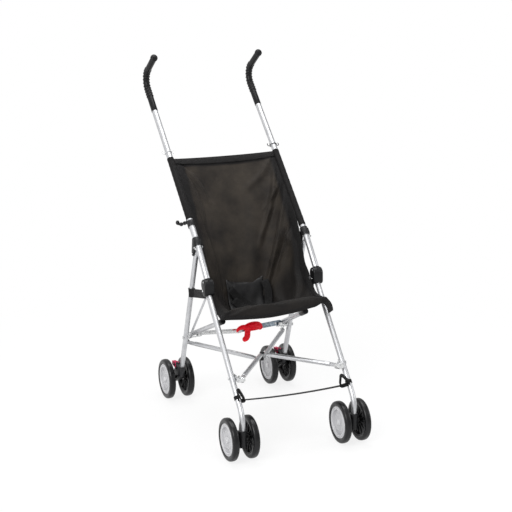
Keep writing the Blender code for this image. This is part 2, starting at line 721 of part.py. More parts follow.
def build_rear_housing(name):
    x = -SIDE_X
    down = rear_leg_dir()
    a = Vector(REAR_FOOT) - down * 0.0350
    b = Vector(REAR_FOOT) - down * 0.0010
    body = rod(name, side_point(-1, a), side_point(-1, b), 0.0105, 16)
    outline = [(0.2080, 0.1080), (0.2220, 0.0730), (0.2560, 0.0520)]
    outline = outline + [(0.2720, 0.0560), (0.2700, 0.0720), (0.2400, 0.1130)]
    arm = plate("arm", outline, x - 0.0095, x + 0.0095)
    bar = axle(x, REAR_AXLE_Y, WHEEL_OFFSET + WHEEL_W / 2 + 0.0035)
    spacer = rod("spacer", (x - 0.0200, REAR_AXLE_Y, WHEEL_R), (x + 0.0200, REAR_AXLE_Y, WHEEL_R), 0.0065, 14)
    by, bz = BRAKE_PIVOT
    pin = rod("pin", (x - 0.0145, by, bz), (x + 0.0145, by, bz), PIN_R, 12)
    lug = rod("lug", (x - 0.0095, by, bz), (x + 0.0095, by, bz), 0.0055, 12)
    combine(body, [arm, bar, spacer, pin, lug])
    bore_top = side_point(-1, Vector(REAR_FOOT) - down * 0.06)
    bore_low = side_point(-1, Vector(REAR_FOOT) + down * FIT_GAP)
    drill(body, bore_top, bore_low, REAR_TUBE_R + FIT_GAP, ROUND_SEGMENTS)
    return body


def build_brake(name):
    x = -SIDE_X
    y, z = BRAKE_PIVOT
    cheeks = []
    outline = rounded_outline([(y, z), (y + 0.020, z - 0.0005)], [0.0055, 0.0040], 4)
    base = plate(name, outline, x - 0.0133, x - 0.0100)
    cheeks.append(plate("cheek", outline, x + 0.0100, x + 0.0133))
    pad = box("pad", (x - 0.0133, y + 0.0130, z - 0.0040), (x + 0.0133, y + 0.0280, z + 0.0030))
    combine(base, cheeks + [pad])
    drill(base, (x - 0.03, y, z), (x + 0.03, y, z), PIN_BORE_R)
    return base


def build_hook(name):
    # storage hook on the left main tube
    along = (Vector(HEM_POINT) - Vector(UPPER_PIVOT_TUBE)).normalized()
    y, z = Vector(UPPER_PIVOT_TUBE) + along * 0.083
    low = Vector((-SIDE_X, y, z)) - Vector((0, along.x, along.y)) * 0.009
    high = Vector((-SIDE_X, y, z)) + Vector((0, along.x, along.y)) * 0.009
    ring = sleeve(name, low, high, MAIN_TUBE_R + FIT_GAP, 0.0115)
    out = Vector((0, along.y, -along.x))
    base = Vector((-SIDE_X, y, z)) + out * 0.0105
    tip = base + out * 0.012
    arm = rod("arm", base - out * 0.0003, tip, 0.0032, 10)
    lip = rod("lip", tip - out * 0.002, tip - out * 0.002 + Vector((0, along.x, along.y)) * 0.014, 0.0030, 10)
    combine(ring, [arm, lip])
    return ring


# soft parts

def seat_profile():
    middle = [(0.2900, 0.7420), (0.2660, 0.7050), (0.2330, 0.6450), (0.1990, 0.5700), (0.1700, 0.4950)]
    middle = middle + [(0.1450, 0.4250), (0.1260, 0.3650), (0.1120, 0.3200), (0.0900, 0.2960), (0.0500, 0.2960)]
    middle = middle + [(0.0050, 0.3130), (-0.0450, 0.3330), (-0.0900, 0.3500), (-0.1120, 0.3560)]
    slope = (HEM_POINT[1] - UPPER_PIVOT_TUBE[1]) / (HEM_POINT[0] - UPPER_PIVOT_TUBE[0])
    edge = []
    for y in (0.2930, 0.2650, 0.2250, 0.1850, 0.1450):
        edge.append((y, HEM_POINT[1] - (HEM_POINT[0] - y) * slope))
    edge = edge + [(0.1100, 0.5400), (0.0820, 0.4900), (0.0640, 0.4450), (0.0450, 0.4050), (0.0250, 0.3850)]
    edge = edge + [(-0.0050, 0.3740), (-0.0450, 0.3680), (-0.0900, 0.3640), (-0.1120, 0.3620)]
    at_tube = SIDE_X - MAIN_TUBE_R - FIT_GAP - 0.0008
    half = [at_tube] * 5 + [0.1530] * 5 + [0.1550, 0.1570, 0.1580, 0.1580]
    return middle, edge, half


def build_seat(name):
    middle, edge, half = seat_profile()
    across = 12
    thick = 0.0026
    rows = []
    for (my, mz), (ey, ez), w in zip(middle, edge, half):
        row = []
        for k in range(across + 1):
            u = -1 + 2 * k / across
            f = abs(u) ** 2.4
            row.append(Vector((w * u, my * (1 - f) + ey * f, mz * (1 - f) + ez * f)))
        rows.append(row)
    n = len(rows)
    m = across + 1
    grid = [p for row in rows for p in row]
    normals = []
    for i in range(n):
        for k in range(m):
            du = rows[i][min(k + 1, m - 1)] - rows[i][max(k - 1, 0)]
            dv = rows[min(i + 1, n - 1)][k] - rows[max(i - 1, 0)][k]
            normals.append(du.cross(dv).normalized())
    verts = [p + q * (thick / 2) for p, q in zip(grid, normals)]
    verts = verts + [p - q * (thick / 2) for p, q in zip(grid, normals)]
    count = n * m
    faces = []
    for i in range(n - 1):
        for k in range(m - 1):
            a = i * m + k
            faces.append((a, a + 1, a + m + 1, a + m))
            faces.append((count + a, count + a + m, count + a + m + 1, count + a + 1))
    for i in range(n - 1):
        a = i * m
        faces.append((a, a + m, count + a + m, count + a))
        b = i * m + m - 1
        faces.append((b, count + b, count + b + m, b + m))
    for k in range(m - 1):
        faces.append((k, count + k, count + k + 1, k + 1))
        b = (n - 1) * m + k
        faces.append((b, b + 1, count + b + 1, count + b))
    return object_from(name, verts, faces)


def strip(name, points, widths, thick, wide_axis):
    # flat webbing along points, width across wide_axis
    wide = Vector(wide_axis)
    verts = []
    for p, w in zip(points, widths):
        p = Vector(p)
        verts.append(p)
    rows = []
    out = []
    for i, p in enumerate(verts):
        a = verts[max(i - 1, 0)]
        b = verts[min(i + 1, len(verts) - 1)]
        t = (b - a).normalized()
        n = t.cross(wide).normalized()
        w = widths[i] / 2
        h = thick / 2
        rows.append([len(out), len(out) + 1, len(out) + 2, len(out) + 3])
        out.append(p + wide * w + n * h)
        out.append(p - wide * w + n * h)
        out.append(p - wide * w - n * h)
        out.append(p + wide * w - n * h)
    faces = [tuple(rows[0]), tuple(reversed(rows[-1]))]
    for a, b in zip(rows, rows[1:]):
        for k in range(4):
            j = (k + 1) % 4
            faces.append((a[k], b[k], b[j], a[j]))
    return object_from(name, out, faces)


def build_footrest(name):
    reach = SIDE_X - LOOP_R - FIT_GAP
    points = []
    for k in range(13):
        u = -1 + 2 * k / 12
        points.append((reach * u, -0.2440, 0.1690 - 0.0060 * (1 - u * u)))
    return strip(name, points, [0.024] * 13, 0.0016, Vector((0, 0.97, 0.24)).normalized())


def build_loop(name):
    top = Vector(BLOCK_LOWER)
    low = Vector(FRONT_LOW)
    up = (top - low).normalized()
    z = 0.174
    y = top.x + (z - top.y) * up.x / up.y
    a = side_point(-1, Vector((y, z)) - up * 0.011)
    b = side_point(-1, Vector((y, z)) + up * 0.011)
    return sleeve(name, a, b, FRONT_TUBE_R + FIT_GAP, LOOP_R)


def build_limit_strap(name):
    down = rear_leg_dir()
    mid = Vector((REAR_PIVOT[0] + (REAR_PIVOT[1] - 0.389) * down.x / -down.y, 0.389))
    a = side_point(-1, mid - down * 0.011)
    b = side_point(-1, mid + down * 0.011)
    ring = sleeve(name, a, b, REAR_TUBE_R + FIT_GAP, 0.0090)
    lean = -down.x / down.y
    reach = 0.0084 * math.sqrt(1 + lean * lean)
    low_end = mid.x + (mid.y - 0.383) * lean - reach
    high_end = mid.x + (mid.y - 0.398) * lean - reach
    outline = [(0.0100, 0.3900), (low_end, 0.3830), (high_end, 0.3980), (0.0060, 0.4060)]
    tongue = plate("tongue", outline, -SIDE_X - 0.0009, -SIDE_X + 0.0009)
    combine(ring, [tongue])
    return ring


def build_crotch_strap(name):
    middle = seat_profile()[0][7:13]
    points = []
    for k, (y, z) in enumerate(middle):
        before = Vector(middle[max(k - 1, 0)])
        after = Vector(middle[min(k + 1, len(middle) - 1)])
        along = (after - before).normalized()
        up = Vector((along.y, -along.x)) if along.x < 0 else Vector((-along.y, along.x))
        if up.y < 0:
            up = -up
        points.append((0.0, y + up.x * 0.0050, z + up.y * 0.0050))
    return strip(name, points, [0.034] * 6, 0.0030, (1, 0, 0))


def assemble():
    clear_scene()
    pair(build_handle_tube, "handle_tube", "tube")
    pair(build_grip, "grip", "grip")
    pair(build_upper_bracket, "upper_bracket", "plastic", False)
    pair(build_block, "connector_block", "plastic", False)
    pair(build_front_leg, "front_leg", "tube")
    pair(build_front_bracket, "front_bracket", "zinc", False)
    finish(build_hook("storage_hook"), "plastic")
    pair(build_rear_leg, "rear_leg", "tube")
    pair(build_hub_plate, "rear_bracket", "zinc", False)
    pair(build_stay, "side_stay", "zinc", False)
    pair(build_rail, "seat_rail", "tube")
    pair(build_front_arm, "front_brace", "tube")
    pair(build_rear_arm, "rear_brace", "tube")
    finish(build_hub_pin("brace_pin"), "plastic")
    finish(build_lock_left("lock_link_left"), "zinc", False)
    finish(build_lock_right("lock_link_right"), "zinc", False)
    finish(build_latch("release_latch"), "red", False)
    pair(build_caster, "caster_housing", "plastic", False)
    pair(build_rear_housing, "rear_housing", "plastic", False)
    pair(build_brake, "brake_lever", "red", False)
    for side, label in ((-1, "left"), (1, "right")):
        for offset, place in ((side * WHEEL_OFFSET, "outer"), (-side * WHEEL_OFFSET, "inner")):
            x = side * SIDE_X
            finish(build_tyre("front_tyre_" + label + "_" + place, x, offset, FRONT_AXLE_Y), "tyre")
            finish(build_rim("front_rim_" + label + "_" + place, x, offset, FRONT_AXLE_Y), "rim")
            finish(build_tyre("rear_tyre_" + label + "_" + place, x, offset, REAR_AXLE_Y), "tyre")
            finish(build_rim("rear_rim_" + label + "_" + place, x, offset, REAR_AXLE_Y), "rim")
    finish(build_seat("seat_sling"), "fabric")
    finish(build_crotch_strap("crotch_strap"), "webbing")
    finish(build_footrest("footrest_strap"), "webbing")
    pair(build_loop, "footrest_loop", "webbing")
    pair(build_limit_strap, "limit_strap", "webbing")


def set_origin(name, point):
    # a moving piece turns about its own origin
    obj = bpy.data.objects[name]
    obj.data.transform(Matrix.Translation(-Vector(point)))
    obj.location = Vector(point)


def flip(point):
    return Vector((-point.x, point.y, point.z))


def place_origins():
    for side, label in ((-1, "left"), (1, "right")):
        x = side * SIDE_X
        same = (lambda p: p) if side < 0 else flip
        set_origin("rear_leg_" + label, (x, REAR_PIVOT[0], REAR_PIVOT[1]))
        set_origin("side_stay_" + label, same(STAY_PIVOT))
        set_origin("seat_rail_" + label, same(RAIL_PIVOT))
        set_origin("front_brace_" + label, same(FRONT_ARM_PIVOT))
        set_origin("rear_brace_" + label, same(REAR_ARM_PIVOT))
        set_origin("caster_housing_" + label, (x, FRONT_FOOT_Y, WHEEL_R))
        set_origin("brake_lever_" + label, (x, BRAKE_PIVOT[0], BRAKE_PIVOT[1]))
        for offset, place in ((side * WHEEL_OFFSET, "outer"), (-side * WHEEL_OFFSET, "inner")):
            for end, y in (("front", FRONT_AXLE_Y), ("rear", REAR_AXLE_Y)):
                for piece in ("tyre", "rim"):
                    set_origin(end + "_" + piece + "_" + label + "_" + place, (x + offset, y, WHEEL_R))
    set_origin("lock_link_left", LOCK_END)
    set_origin("lock_link_right", LOCK_MID)
    set_origin("release_latch", LATCH_PIVOT)


def centre_on_floor():
    # the frame's origin is the middle of the outline, on the floor
    low = math.inf
    high = -math.inf
    for obj in bpy.context.scene.objects:
        for vert in obj.data.vertices:
            y = vert.co.y + obj.location.y
            low = min(low, y)
            high = max(high, y)
    for obj in bpy.context.scene.objects:
        obj.location.y -= (low + high) / 2
    print("middle of the outline was at", round((low + high) / 2, 6))


assemble()
place_origins()
centre_on_floor()
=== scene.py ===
import bpy
import bmesh
import json
import math
import random
from mathutils import Matrix, Quaternion, Vector, noise


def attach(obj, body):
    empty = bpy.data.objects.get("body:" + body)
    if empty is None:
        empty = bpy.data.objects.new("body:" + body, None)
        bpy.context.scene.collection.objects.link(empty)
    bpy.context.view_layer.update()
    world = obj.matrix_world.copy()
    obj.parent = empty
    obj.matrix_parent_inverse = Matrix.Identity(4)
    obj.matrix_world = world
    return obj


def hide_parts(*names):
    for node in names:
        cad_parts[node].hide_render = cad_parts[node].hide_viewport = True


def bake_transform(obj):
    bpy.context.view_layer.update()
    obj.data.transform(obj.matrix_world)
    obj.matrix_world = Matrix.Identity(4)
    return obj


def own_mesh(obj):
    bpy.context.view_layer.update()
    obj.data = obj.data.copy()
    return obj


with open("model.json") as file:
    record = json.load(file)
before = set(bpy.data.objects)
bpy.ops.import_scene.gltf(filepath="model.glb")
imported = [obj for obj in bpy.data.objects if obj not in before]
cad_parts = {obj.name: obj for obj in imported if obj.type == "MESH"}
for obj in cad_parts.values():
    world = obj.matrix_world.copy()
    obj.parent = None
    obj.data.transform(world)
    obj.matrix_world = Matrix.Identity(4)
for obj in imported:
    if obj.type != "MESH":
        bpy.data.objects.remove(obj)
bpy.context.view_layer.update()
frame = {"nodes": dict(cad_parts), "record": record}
scene = bpy.context.scene
bodyOfNode = {}
for bodyName, nodeNames in frame["record"]["behaviour"]["bodies"].items():
    for nodeName in nodeNames:
        bodyOfNode[nodeName] = bodyName
sideX = 0.171  # from the middle to each side frame
frameMiddle = 0.100037  # the drawing's y less this is the frame's y
print("frame loaded,", len(bodyOfNode), "nodes")


# small helpers

def metres(rows):
    # tables of sizes are written in millimetres
    return [tuple(round(value / 1000, 7) for value in row) for row in rows]


def at(x, y, z):
    return Vector((x, y - frameMiddle, z))


def addObject(name, data):
    piece = bpy.data.objects.new(name, data)
    scene.collection.objects.link(piece)
    return piece


def discard(piece):
    bpy.data.objects.remove(piece, do_unlink=True)


def smoothShade(mesh, smooth=True):
    mesh.polygons.foreach_set("use_smooth", [smooth] * len(mesh.polygons))


def meshObject(name, verts, faces, finish, smooth=True, tags=None, around=0):
    # tags are (turn index, u, v, girth) for each vertex; around is how many turns close the ring
    mesh = bpy.data.meshes.new(name)
    mesh.from_pydata([tuple(v) for v in verts], [], faces)
    work = bmesh.new()
    work.from_mesh(mesh)
    bmesh.ops.recalc_face_normals(work, faces=work.faces)
    if work.calc_volume(signed=True) < 0:
        bmesh.ops.reverse_faces(work, faces=work.faces)
    if tags:
        layer = work.loops.layers.uv.new("surface")
        for face in work.faces:
            turns = [tags[loop.vert.index][0] for loop in face.loops]
            wraps = around and max(turns) - min(turns) > around / 2
            for loop in face.loops:
                turn, u, v, girth = tags[loop.vert.index]
                loop[layer].uv = (u + girth if wraps and turn < around / 2 else u, v)
    work.to_mesh(mesh)
    work.free()
    piece = addObject(name, mesh)
    if finish:
        mesh.materials.append(finish)
    smoothShade(mesh, smooth)
    return piece


def settle(piece, sharpAngle=40):
    # applies what modifiers the piece has, and keeps hard edges hard
    graph = bpy.context.evaluated_depsgraph_get()
    mesh = bpy.data.meshes.new_from_object(piece.evaluated_get(graph))
    piece.modifiers.clear()
    piece.data = mesh
    smoothShade(mesh)
    mesh.set_sharp_from_angle(angle=math.radians(sharpAngle))
    return piece


def roundEdges(piece, width, segments=3, angle=35, sharpAngle=50):
    bevel = piece.modifiers.new("soft edges", 'BEVEL')
    bevel.width = width
    bevel.segments = segments
    bevel.limit_method = 'ANGLE'
    bevel.angle_limit = math.radians(angle)
    bevel.harden_normals = False
    return settle(piece, sharpAngle)


def joinMeshes(name, pieces):
    # several closed shells of one body become one piece
    work = bmesh.new()
    finishes = []
    for piece in pieces:
        start = len(work.faces)
        slots = []
        for finish in piece.data.materials:
            if finish not in finishes:
                finishes.append(finish)
            slots.append(finishes.index(finish))
        work.from_mesh(piece.data)
        work.faces.ensure_lookup_table()
        for face in work.faces[start:]:
            face.material_index = slots[face.material_index] if slots else 0
    mesh = bpy.data.meshes.new(name)
    work.to_mesh(mesh)
    work.free()
    for finish in finishes:
        mesh.materials.append(finish)
    joined = addObject(name, mesh)
    for piece in pieces:
        discard(piece)
    return joined


def stand(piece, node):
    # the piece takes the place of this CAD node
    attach(piece, bodyOfNode[node])
    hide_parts(node)


def filletPath(points, radii, steps=10):
    # corners become arcs; the ends stay where they are
    dense = [Vector(points[0])]
    for i in range(1, len(points) - 1):
        corner = Vector(points[i])
        before = (Vector(points[i - 1]) - corner).normalized()
        after = (Vector(points[i + 1]) - corner).normalized()
        angle = before.angle(after)
        reach = radii[i - 1] / math.tan(angle / 2)
        centre = corner + (before + after).normalized() * (radii[i - 1] / math.sin(angle / 2))
        spoke = corner + before * reach - centre
        other = corner + after * reach - centre
        axis = spoke.cross(other)
        total = spoke.angle(other)
        for k in range(steps + 1):
            dense.append(centre + Quaternion(axis, total * k / steps) @ spoke)
    dense.append(Vector(points[-1]))
    return dense


def curvePoint(p0, p1, p2, p3, t):
    # between p1 and p2, on a curve through all four
    b = (p0 * 2 - p1 * 5 + p2 * 4 - p3) * t * t
    c = (p1 * 3 - p0 - p2 * 3 + p3) * t * t * t
    return (p1 * 2 + (p2 - p0) * t + b + c) / 2


def smoothPath(points, steps=6):
    # a curve through all the points
    points = [Vector(p) for p in points]
    dense = []
    for i in range(len(points) - 1):
        p0 = points[max(i - 1, 0)]
        p1, p2 = points[i], points[i + 1]
        p3 = points[min(i + 2, len(points) - 1)]
        dense += [curvePoint(p0, p1, p2, p3, k / steps) for k in range(steps)]
    dense.append(points[-1])
    return dense


def pathFrames(dense, hint=(1, 0, 0)):
    lengths = [0.0]
    for a, b in zip(dense, dense[1:]):
        lengths.append(lengths[-1] + (b - a).length)
    tangents = []
    for i in range(len(dense)):
        before = dense[i] - dense[max(i - 1, 0)]
        after = dense[min(i + 1, len(dense) - 1)] - dense[i]
        tangents.append((before.normalized() + after.normalized()).normalized())
    first = Vector(hint)
    first = first - tangents[0] * first.dot(tangents[0])
    if first.length < 0.05:
        first = tangents[0].orthogonal()
    normals = [first.normalized()]
    for t in tangents[1:]:
        normals.append((normals[-1] - t * normals[-1].dot(t)).normalized())
    return lengths, tangents, normals


def along(dense, frames, s):
    lengths, tangents, normals = frames
    s = max(0.0, min(s, lengths[-1]))
    i = 0
    while i < len(lengths) - 2 and lengths[i + 1] < s:
        i += 1
    u = (s - lengths[i]) / (lengths[i + 1] - lengths[i])
    tangent = tangents[i].lerp(tangents[i + 1], u).normalized()
    normal = normals[i].lerp(normals[i + 1], u)
    normal = (normal - tangent * normal.dot(tangent)).normalized()
    return dense[i].lerp(dense[i + 1], u), tangent, normal


def nearestLength(dense, frames, point):
    total = frames[0][-1]
    steps = 600
    best = min(range(steps + 1), key=lambda k: (along(dense, frames, total * k / steps)[0] - point).length)
    return total * best / steps


def sweep(name, dense, rings, finish, segments=32, closed=False, hint=(1, 0, 0)):
    # rings are (length along, radius, flat across, flat up); radius 0 closes an end
    frames = pathFrames(dense, hint)
    verts, rows, tags = [], [], []
    girth = 2 * math.pi * max(r[1] for r in rings)
    for ring in rings:
        s, r = ring[0], ring[1]
        wide, high = (ring[2], ring[3]) if len(ring) > 2 else (1.0, 1.0)
        point, tangent, normal = along(dense, frames, s)
        side = tangent.cross(normal)
        if s < 0:
            point = point + tangent * s
        if r <= 0:
            rows.append([len(verts)])
            verts.append(point)
            tags.append((segments / 2, girth / 2, s, girth))
            continue
        row = []
        for k in range(segments):
            a = 2 * math.pi * k / segments
            row.append(len(verts))
            verts.append(point + normal * (r * math.cos(a) * wide) + side * (r * math.sin(a) * high))
            tags.append((k, girth * k / segments, s, girth))
        rows.append(row)
    if closed:
        rows.append(rows[0])
    faces = []
    for a, b in zip(rows, rows[1:]):
        for k in range(segments):
            j = (k + 1) % segments
            if len(a) == 1 and len(b) == 1:
                continue
            if len(a) == 1:
                faces.append((a[0], b[k], b[j]))
            elif len(b) == 1:
                faces.append((a[k], b[0], a[j]))
            else:
                faces.append((a[k], b[k], b[j], a[j]))
    return meshObject(name, verts, faces, finish, True, tags, segments)


def tubeRings(dense, r, start=0.0, end=None, edge=0.0006):
    # a tube with softly broken end edges
    lengths = pathFrames(dense)[0]
    end = lengths[-1] if end is None else end
    rings = [(start, 0.0), (start, r - edge), (start + edge * 0.3, r - edge * 0.3), (start + edge, r)]
    rings += [(s, r) for s in lengths if start + 0.002 < s < end - 0.002]
    rings += [(end - edge, r), (end - edge * 0.3, r - edge * 0.3), (end, r - edge), (end, 0.0)]
    return rings


def wireRings(lengths, r):
    inside = [(s, r) for s in lengths[1:-1]]
    return [(0, 0), (0.0001, r)] + inside + [(lengths[-1], 0)]


def rod(name, a, b, r, finish, segments=24, edge=0.0004):
    dense = [Vector(a), Vector(b)]
    return sweep(name, dense, tubeRings(dense, r, edge=edge), finish, segments)


def domedHead(name, base, direction, r, height, finish, segments=20):
    # a rivet head, flat underneath
    direction = Vector(direction).normalized()
    dense = [Vector(base), Vector(base) + direction * height]
    rings = [(0.0, 0.0), (0.0, r * 0.98), (height * 0.25, r)]
    for k in range(1, 5):
        a = math.pi / 2 * k / 5
        rings.append((height * (0.25 + 0.75 * math.sin(a)), r * math.cos(a) ** 0.7))
    rings.append((height, 0.0))
    return sweep(name, dense, rings, finish, segments)


def prismFaces(n):
    # two caps of n corners and the walls between them
    faces = [tuple(range(n)), tuple(range(2 * n - 1, n - 1, -1))]
    return faces + [(k, (k + 1) % n, n + (k + 1) % n, n + k) for k in range(n)]


def ringFaces(turns, count):
    # a closed section of count points carried once round
    faces = []
    for i in range(turns):
        a, b = i * count, (i + 1) % turns * count
        for k in range(count):
            m = (k + 1) % count
            faces.append((a + k, b + k, b + m, a + m))
    return faces


def gridFaces(nu, nv):
    # a sheet of nv rows of nu faces
    m = nu + 1
    starts = [i * m + k for i in range(nv) for k in range(nu)]
    return [(a, a + 1, a + m + 1, a + m) for a in starts]


def bandFaces(rows):
    # a closed section carried along a path, with a cap at each end
    count = len(rows[0])
    faces = [tuple(rows[0]), tuple(reversed(rows[-1]))]
    for a, b in zip(rows, rows[1:]):
        for k in range(count):
            j = (k + 1) % count
            faces.append((a[k], b[k], b[j], a[j]))
    return faces


def extrude(name, outline, place, depthA, depthB, finish, edge=0.0006, segments=3):
    # outline is a list of 2-D points; place(u, v, depth) gives the point in the frame
    verts = [place(u, v, depthA) for u, v in outline] + [place(u, v, depthB) for u, v in outline]
    return roundEdges(meshObject(name, verts, prismFaces(len(outline)), finish), edge, segments, 40)


def hullOutline(points, radii, steps=8):
    # the outline of a belt round discs at these points, anticlockwise
    result = []
    count = len(points)
    for i in range(count):
        p, q, prev = (Vector(points[i]), Vector(points[(i + 1) % count]), Vector(points[i - 1]))
        r, rq, rp = radii[i], radii[(i + 1) % count], radii[i - 1]

        def outerAngle(a, b, ra, rb):
            line = b - a
            lean = math.asin(max(-1, min(1, (ra - rb) / line.length)))
            return math.atan2(line.y, line.x) - math.pi / 2 + lean

        a = outerAngle(prev, p, rp, r)
        b = outerAngle(p, q, r, rq)
        while b < a:
            b += 2 * math.pi
        for k in range(steps + 1):
            t = a + (b - a) * k / steps
            result.append((p.x + r * math.cos(t), p.y + r * math.sin(t)))
    return result


def refine(nodeName, finish, edge=0.0005, sharpAngle=50, keep=True):
    # a copy of the CAD node with its edges broken as a real part's are
    source = frame["nodes"][nodeName]
    mesh = source.data.copy()
    mesh.name = nodeName + "_made"
    work = bmesh.new()
    work.from_mesh(mesh)
    bmesh.ops.remove_doubles(work, verts=work.verts, dist=0.00003)
    bmesh.ops.dissolve_limit(work, angle_limit=math.radians(1.0), verts=work.verts, edges=work.edges)
    work.to_mesh(mesh)
    work.free()
    mesh.materials.clear()
    mesh.materials.append(finish)
    piece = addObject(nodeName + "_made", mesh)
    roundEdges(piece, edge, 2, 32, sharpAngle)
    if keep:
        stand(piece, nodeName)
    return piece


def flatStrap(name, dense, width, thick, wide, finish):
    # webbing: a flat band with full, slightly thicker selvages; wide is one vector or one for each point
    half = width / 2
    section = [(-1.0, 0.0), (-0.985, 0.42), (-0.94, 0.62), (-0.86, 0.5), (0.86, 0.5), (0.94, 0.62),
               (0.985, 0.42)]
    section += [(-a, -b) for a, b in section]
    verts, rows, tags = [], [], []
    s = 0.0
    for i, p in enumerate(dense):
        if i:
            s += (p - dense[i - 1]).length
        t = (dense[min(i + 1, len(dense) - 1)] - dense[max(i - 1, 0)]).normalized()
        w = Vector(wide[i] if isinstance(wide, list) else wide)
        w = (w - t * w.dot(t)).normalized()
        n = t.cross(w).normalized()
        row = []
        for k, (a, b) in enumerate(section):
            row.append(len(verts))
            verts.append(p + w * (a * half) + n * (b * thick))
            tags.append((k, a * half, s, 0))
        rows.append(row)
    return meshObject(name, verts, bandFaces(rows), finish, True, tags, 0)


# repeated things along a path

def makeRowTree():
    tree = bpy.data.node_groups.new("rowAlongPath", "GeometryNodeTree")
    face = tree.interface
    face.new_socket("Geometry", in_out='INPUT', socket_type='NodeSocketGeometry')
    sockets = {}
    for label, kind in (("Count", "Int"), ("Part", "Object"), ("Finish", "Material"),
                        ("Size Spread", "Float"), ("Seed", "Int")):
        socket = face.new_socket(label, in_out='INPUT', socket_type="NodeSocket" + kind)
        sockets[label] = socket.identifier
    face.new_socket("Geometry", in_out='OUTPUT', socket_type='NodeSocketGeometry')
    kinds = (("start", "NodeGroupInput"), ("points", "GeometryNodeCurveToPoints"),
             ("part", "GeometryNodeObjectInfo"), ("spread", "FunctionNodeRandomValue"),
             ("low", "ShaderNodeMath"), ("high", "ShaderNodeMath"), ("place", "GeometryNodeInstanceOnPoints"),
             ("real", "GeometryNodeRealizeInstances"), ("paint", "GeometryNodeSetMaterial"),
             ("end", "NodeGroupOutput"))
    nodes = {label: tree.nodes.new(kind) for label, kind in kinds}
    nodes["points"].mode = 'COUNT'
    nodes["part"].transform_space = 'ORIGINAL'
    nodes["spread"].data_type = 'FLOAT'
    for label, operation in (("low", 'SUBTRACT'), ("high", 'ADD')):
        nodes[label].operation = operation
        nodes[label].inputs[0].default_value = 1.0
    for source, outlet, target, inlet in (
            ("start", "Geometry", "points", "Curve"), ("start", "Count", "points", "Count"),
            ("start", "Part", "part", "Object"), ("start", "Size Spread", "low", 1),
            ("start", "Size Spread", "high", 1), ("low", 0, "spread", 2), ("high", 0, "spread", 3),
            ("start", "Seed", "spread", "Seed"), ("points", "Points", "place", "Points"),
            ("points", "Rotation", "place", "Rotation"), ("part", "Geometry", "place", "Instance"),
            ("spread", 1, "place", "Scale"), ("place", "Instances", "real", "Geometry"),
            ("real", "Geometry", "paint", "Geometry"), ("start", "Finish", "paint", "Material"),
            ("paint", "Geometry", "end", "Geometry")):
        tree.links.new(nodes[source].outputs[outlet], nodes[target].inputs[inlet])
    return tree, sockets


rowTree, rowSockets = makeRowTree()


def rowAlong(name, paths, part, count, finish, spread=0.0, seed=3):
    # part lies along +Z and is set at even steps along each path
    curve = bpy.data.curves.new(name + "_line", 'CURVE')
    curve.dimensions = '3D'
    for points in paths:
        spline = curve.splines.new('POLY')
        spline.points.add(len(points) - 1)
        for point, slot in zip(points, spline.points):
            slot.co = (point.x, point.y, point.z, 1.0)
    line = addObject(name + "_line", curve)
    mod = line.modifiers.new("row", 'NODES')
    mod.node_group = rowTree
    mod[rowSockets["Count"]] = count
    mod[rowSockets["Part"]] = part
    mod[rowSockets["Finish"]] = finish
    mod[rowSockets["Size Spread"]] = spread
    mod[rowSockets["Seed"]] = seed
    graph = bpy.context.evaluated_depsgraph_get()
    mesh = bpy.data.meshes.new_from_object(line.evaluated_get(graph))
    mesh.name = name
    discard(line)
    row = addObject(name, mesh)
    smoothShade(mesh)
    return row


# finishes

def startFinish(name, colour, metallic, roughness, **more):
    finish = bpy.data.materials.new(name)
    finish.use_nodes = True
    shader = finish.node_tree.nodes["Principled BSDF"]
    shader.inputs["Base Color"].default_value = (*colour, 1.0)
    shader.inputs["Metallic"].default_value = metallic
    shader.inputs["Roughness"].default_value = roughness
    for label, value in more.items():
        shader.inputs[label.replace("_", " ")].default_value = value
    return finish, finish.node_tree, shader


def addNode(tree, kind, **values):
    made = tree.nodes.new(kind)
    for label, value in values.items():
        made.inputs[label.replace("_", " ")].default_value = value
    return made


def noiseNode(tree, coords, scale, detail=3.0, rough=0.55):
    grain = addNode(tree, "ShaderNodeTexNoise", Scale=scale, Detail=detail, Roughness=rough)
    tree.links.new(coords, grain.inputs["Vector"])
    return grain.outputs["Fac"]


def spread(tree, value, low, high, fromLow=0.3, fromHigh=0.7):
    rangeNode = addNode(tree, "ShaderNodeMapRange", From_Min=fromLow, From_Max=fromHigh, To_Min=low,
                        To_Max=high)
    tree.links.new(value, rangeNode.inputs["Value"])
    return rangeNode.outputs["Result"]


def mixColours(tree, value, a, b):
    mix = tree.nodes.new("ShaderNodeMix")
    mix.data_type = 'RGBA'
    tree.links.new(value, mix.inputs["Factor"])
    for socket, colour in (("A", a), ("B", b)):
        slot = [s for s in mix.inputs if s.name == socket and s.type == 'RGBA'][0]
        if hasattr(colour, "is_output"):
            tree.links.new(colour, slot)
        else:
            slot.default_value = (*colour, 1.0)
    return [s for s in mix.outputs if s.type == 'RGBA'][0]


def bump(tree, shader, height, strength, distance, before=None):
    bumpNode = addNode(tree, "ShaderNodeBump", Strength=strength, Distance=distance)
    tree.links.new(height, bumpNode.inputs["Height"])
    if before:
        tree.links.new(before, bumpNode.inputs["Normal"])
    tree.links.new(bumpNode.outputs["Normal"], shader.inputs["Normal"])
    return bumpNode.outputs["Normal"]


def stretched(tree, coords, scale):
    mapping = addNode(tree, "ShaderNodeMapping", Scale=scale)
    tree.links.new(coords, mapping.inputs["Vector"])
    return mapping.outputs["Vector"]


def coordsOf(tree, kind="Object"):
    return tree.nodes.new("ShaderNodeTexCoord").outputs[kind]


def calc(tree, operation, a, b):
    mathNode = tree.nodes.new("ShaderNodeMath")
    mathNode.operation = operation
    for slot, value in zip(mathNode.inputs, (a, b)):
        if hasattr(value, "is_output"):
            tree.links.new(value, slot)
        else:
            slot.default_value = value
    return mathNode.outputs[0]


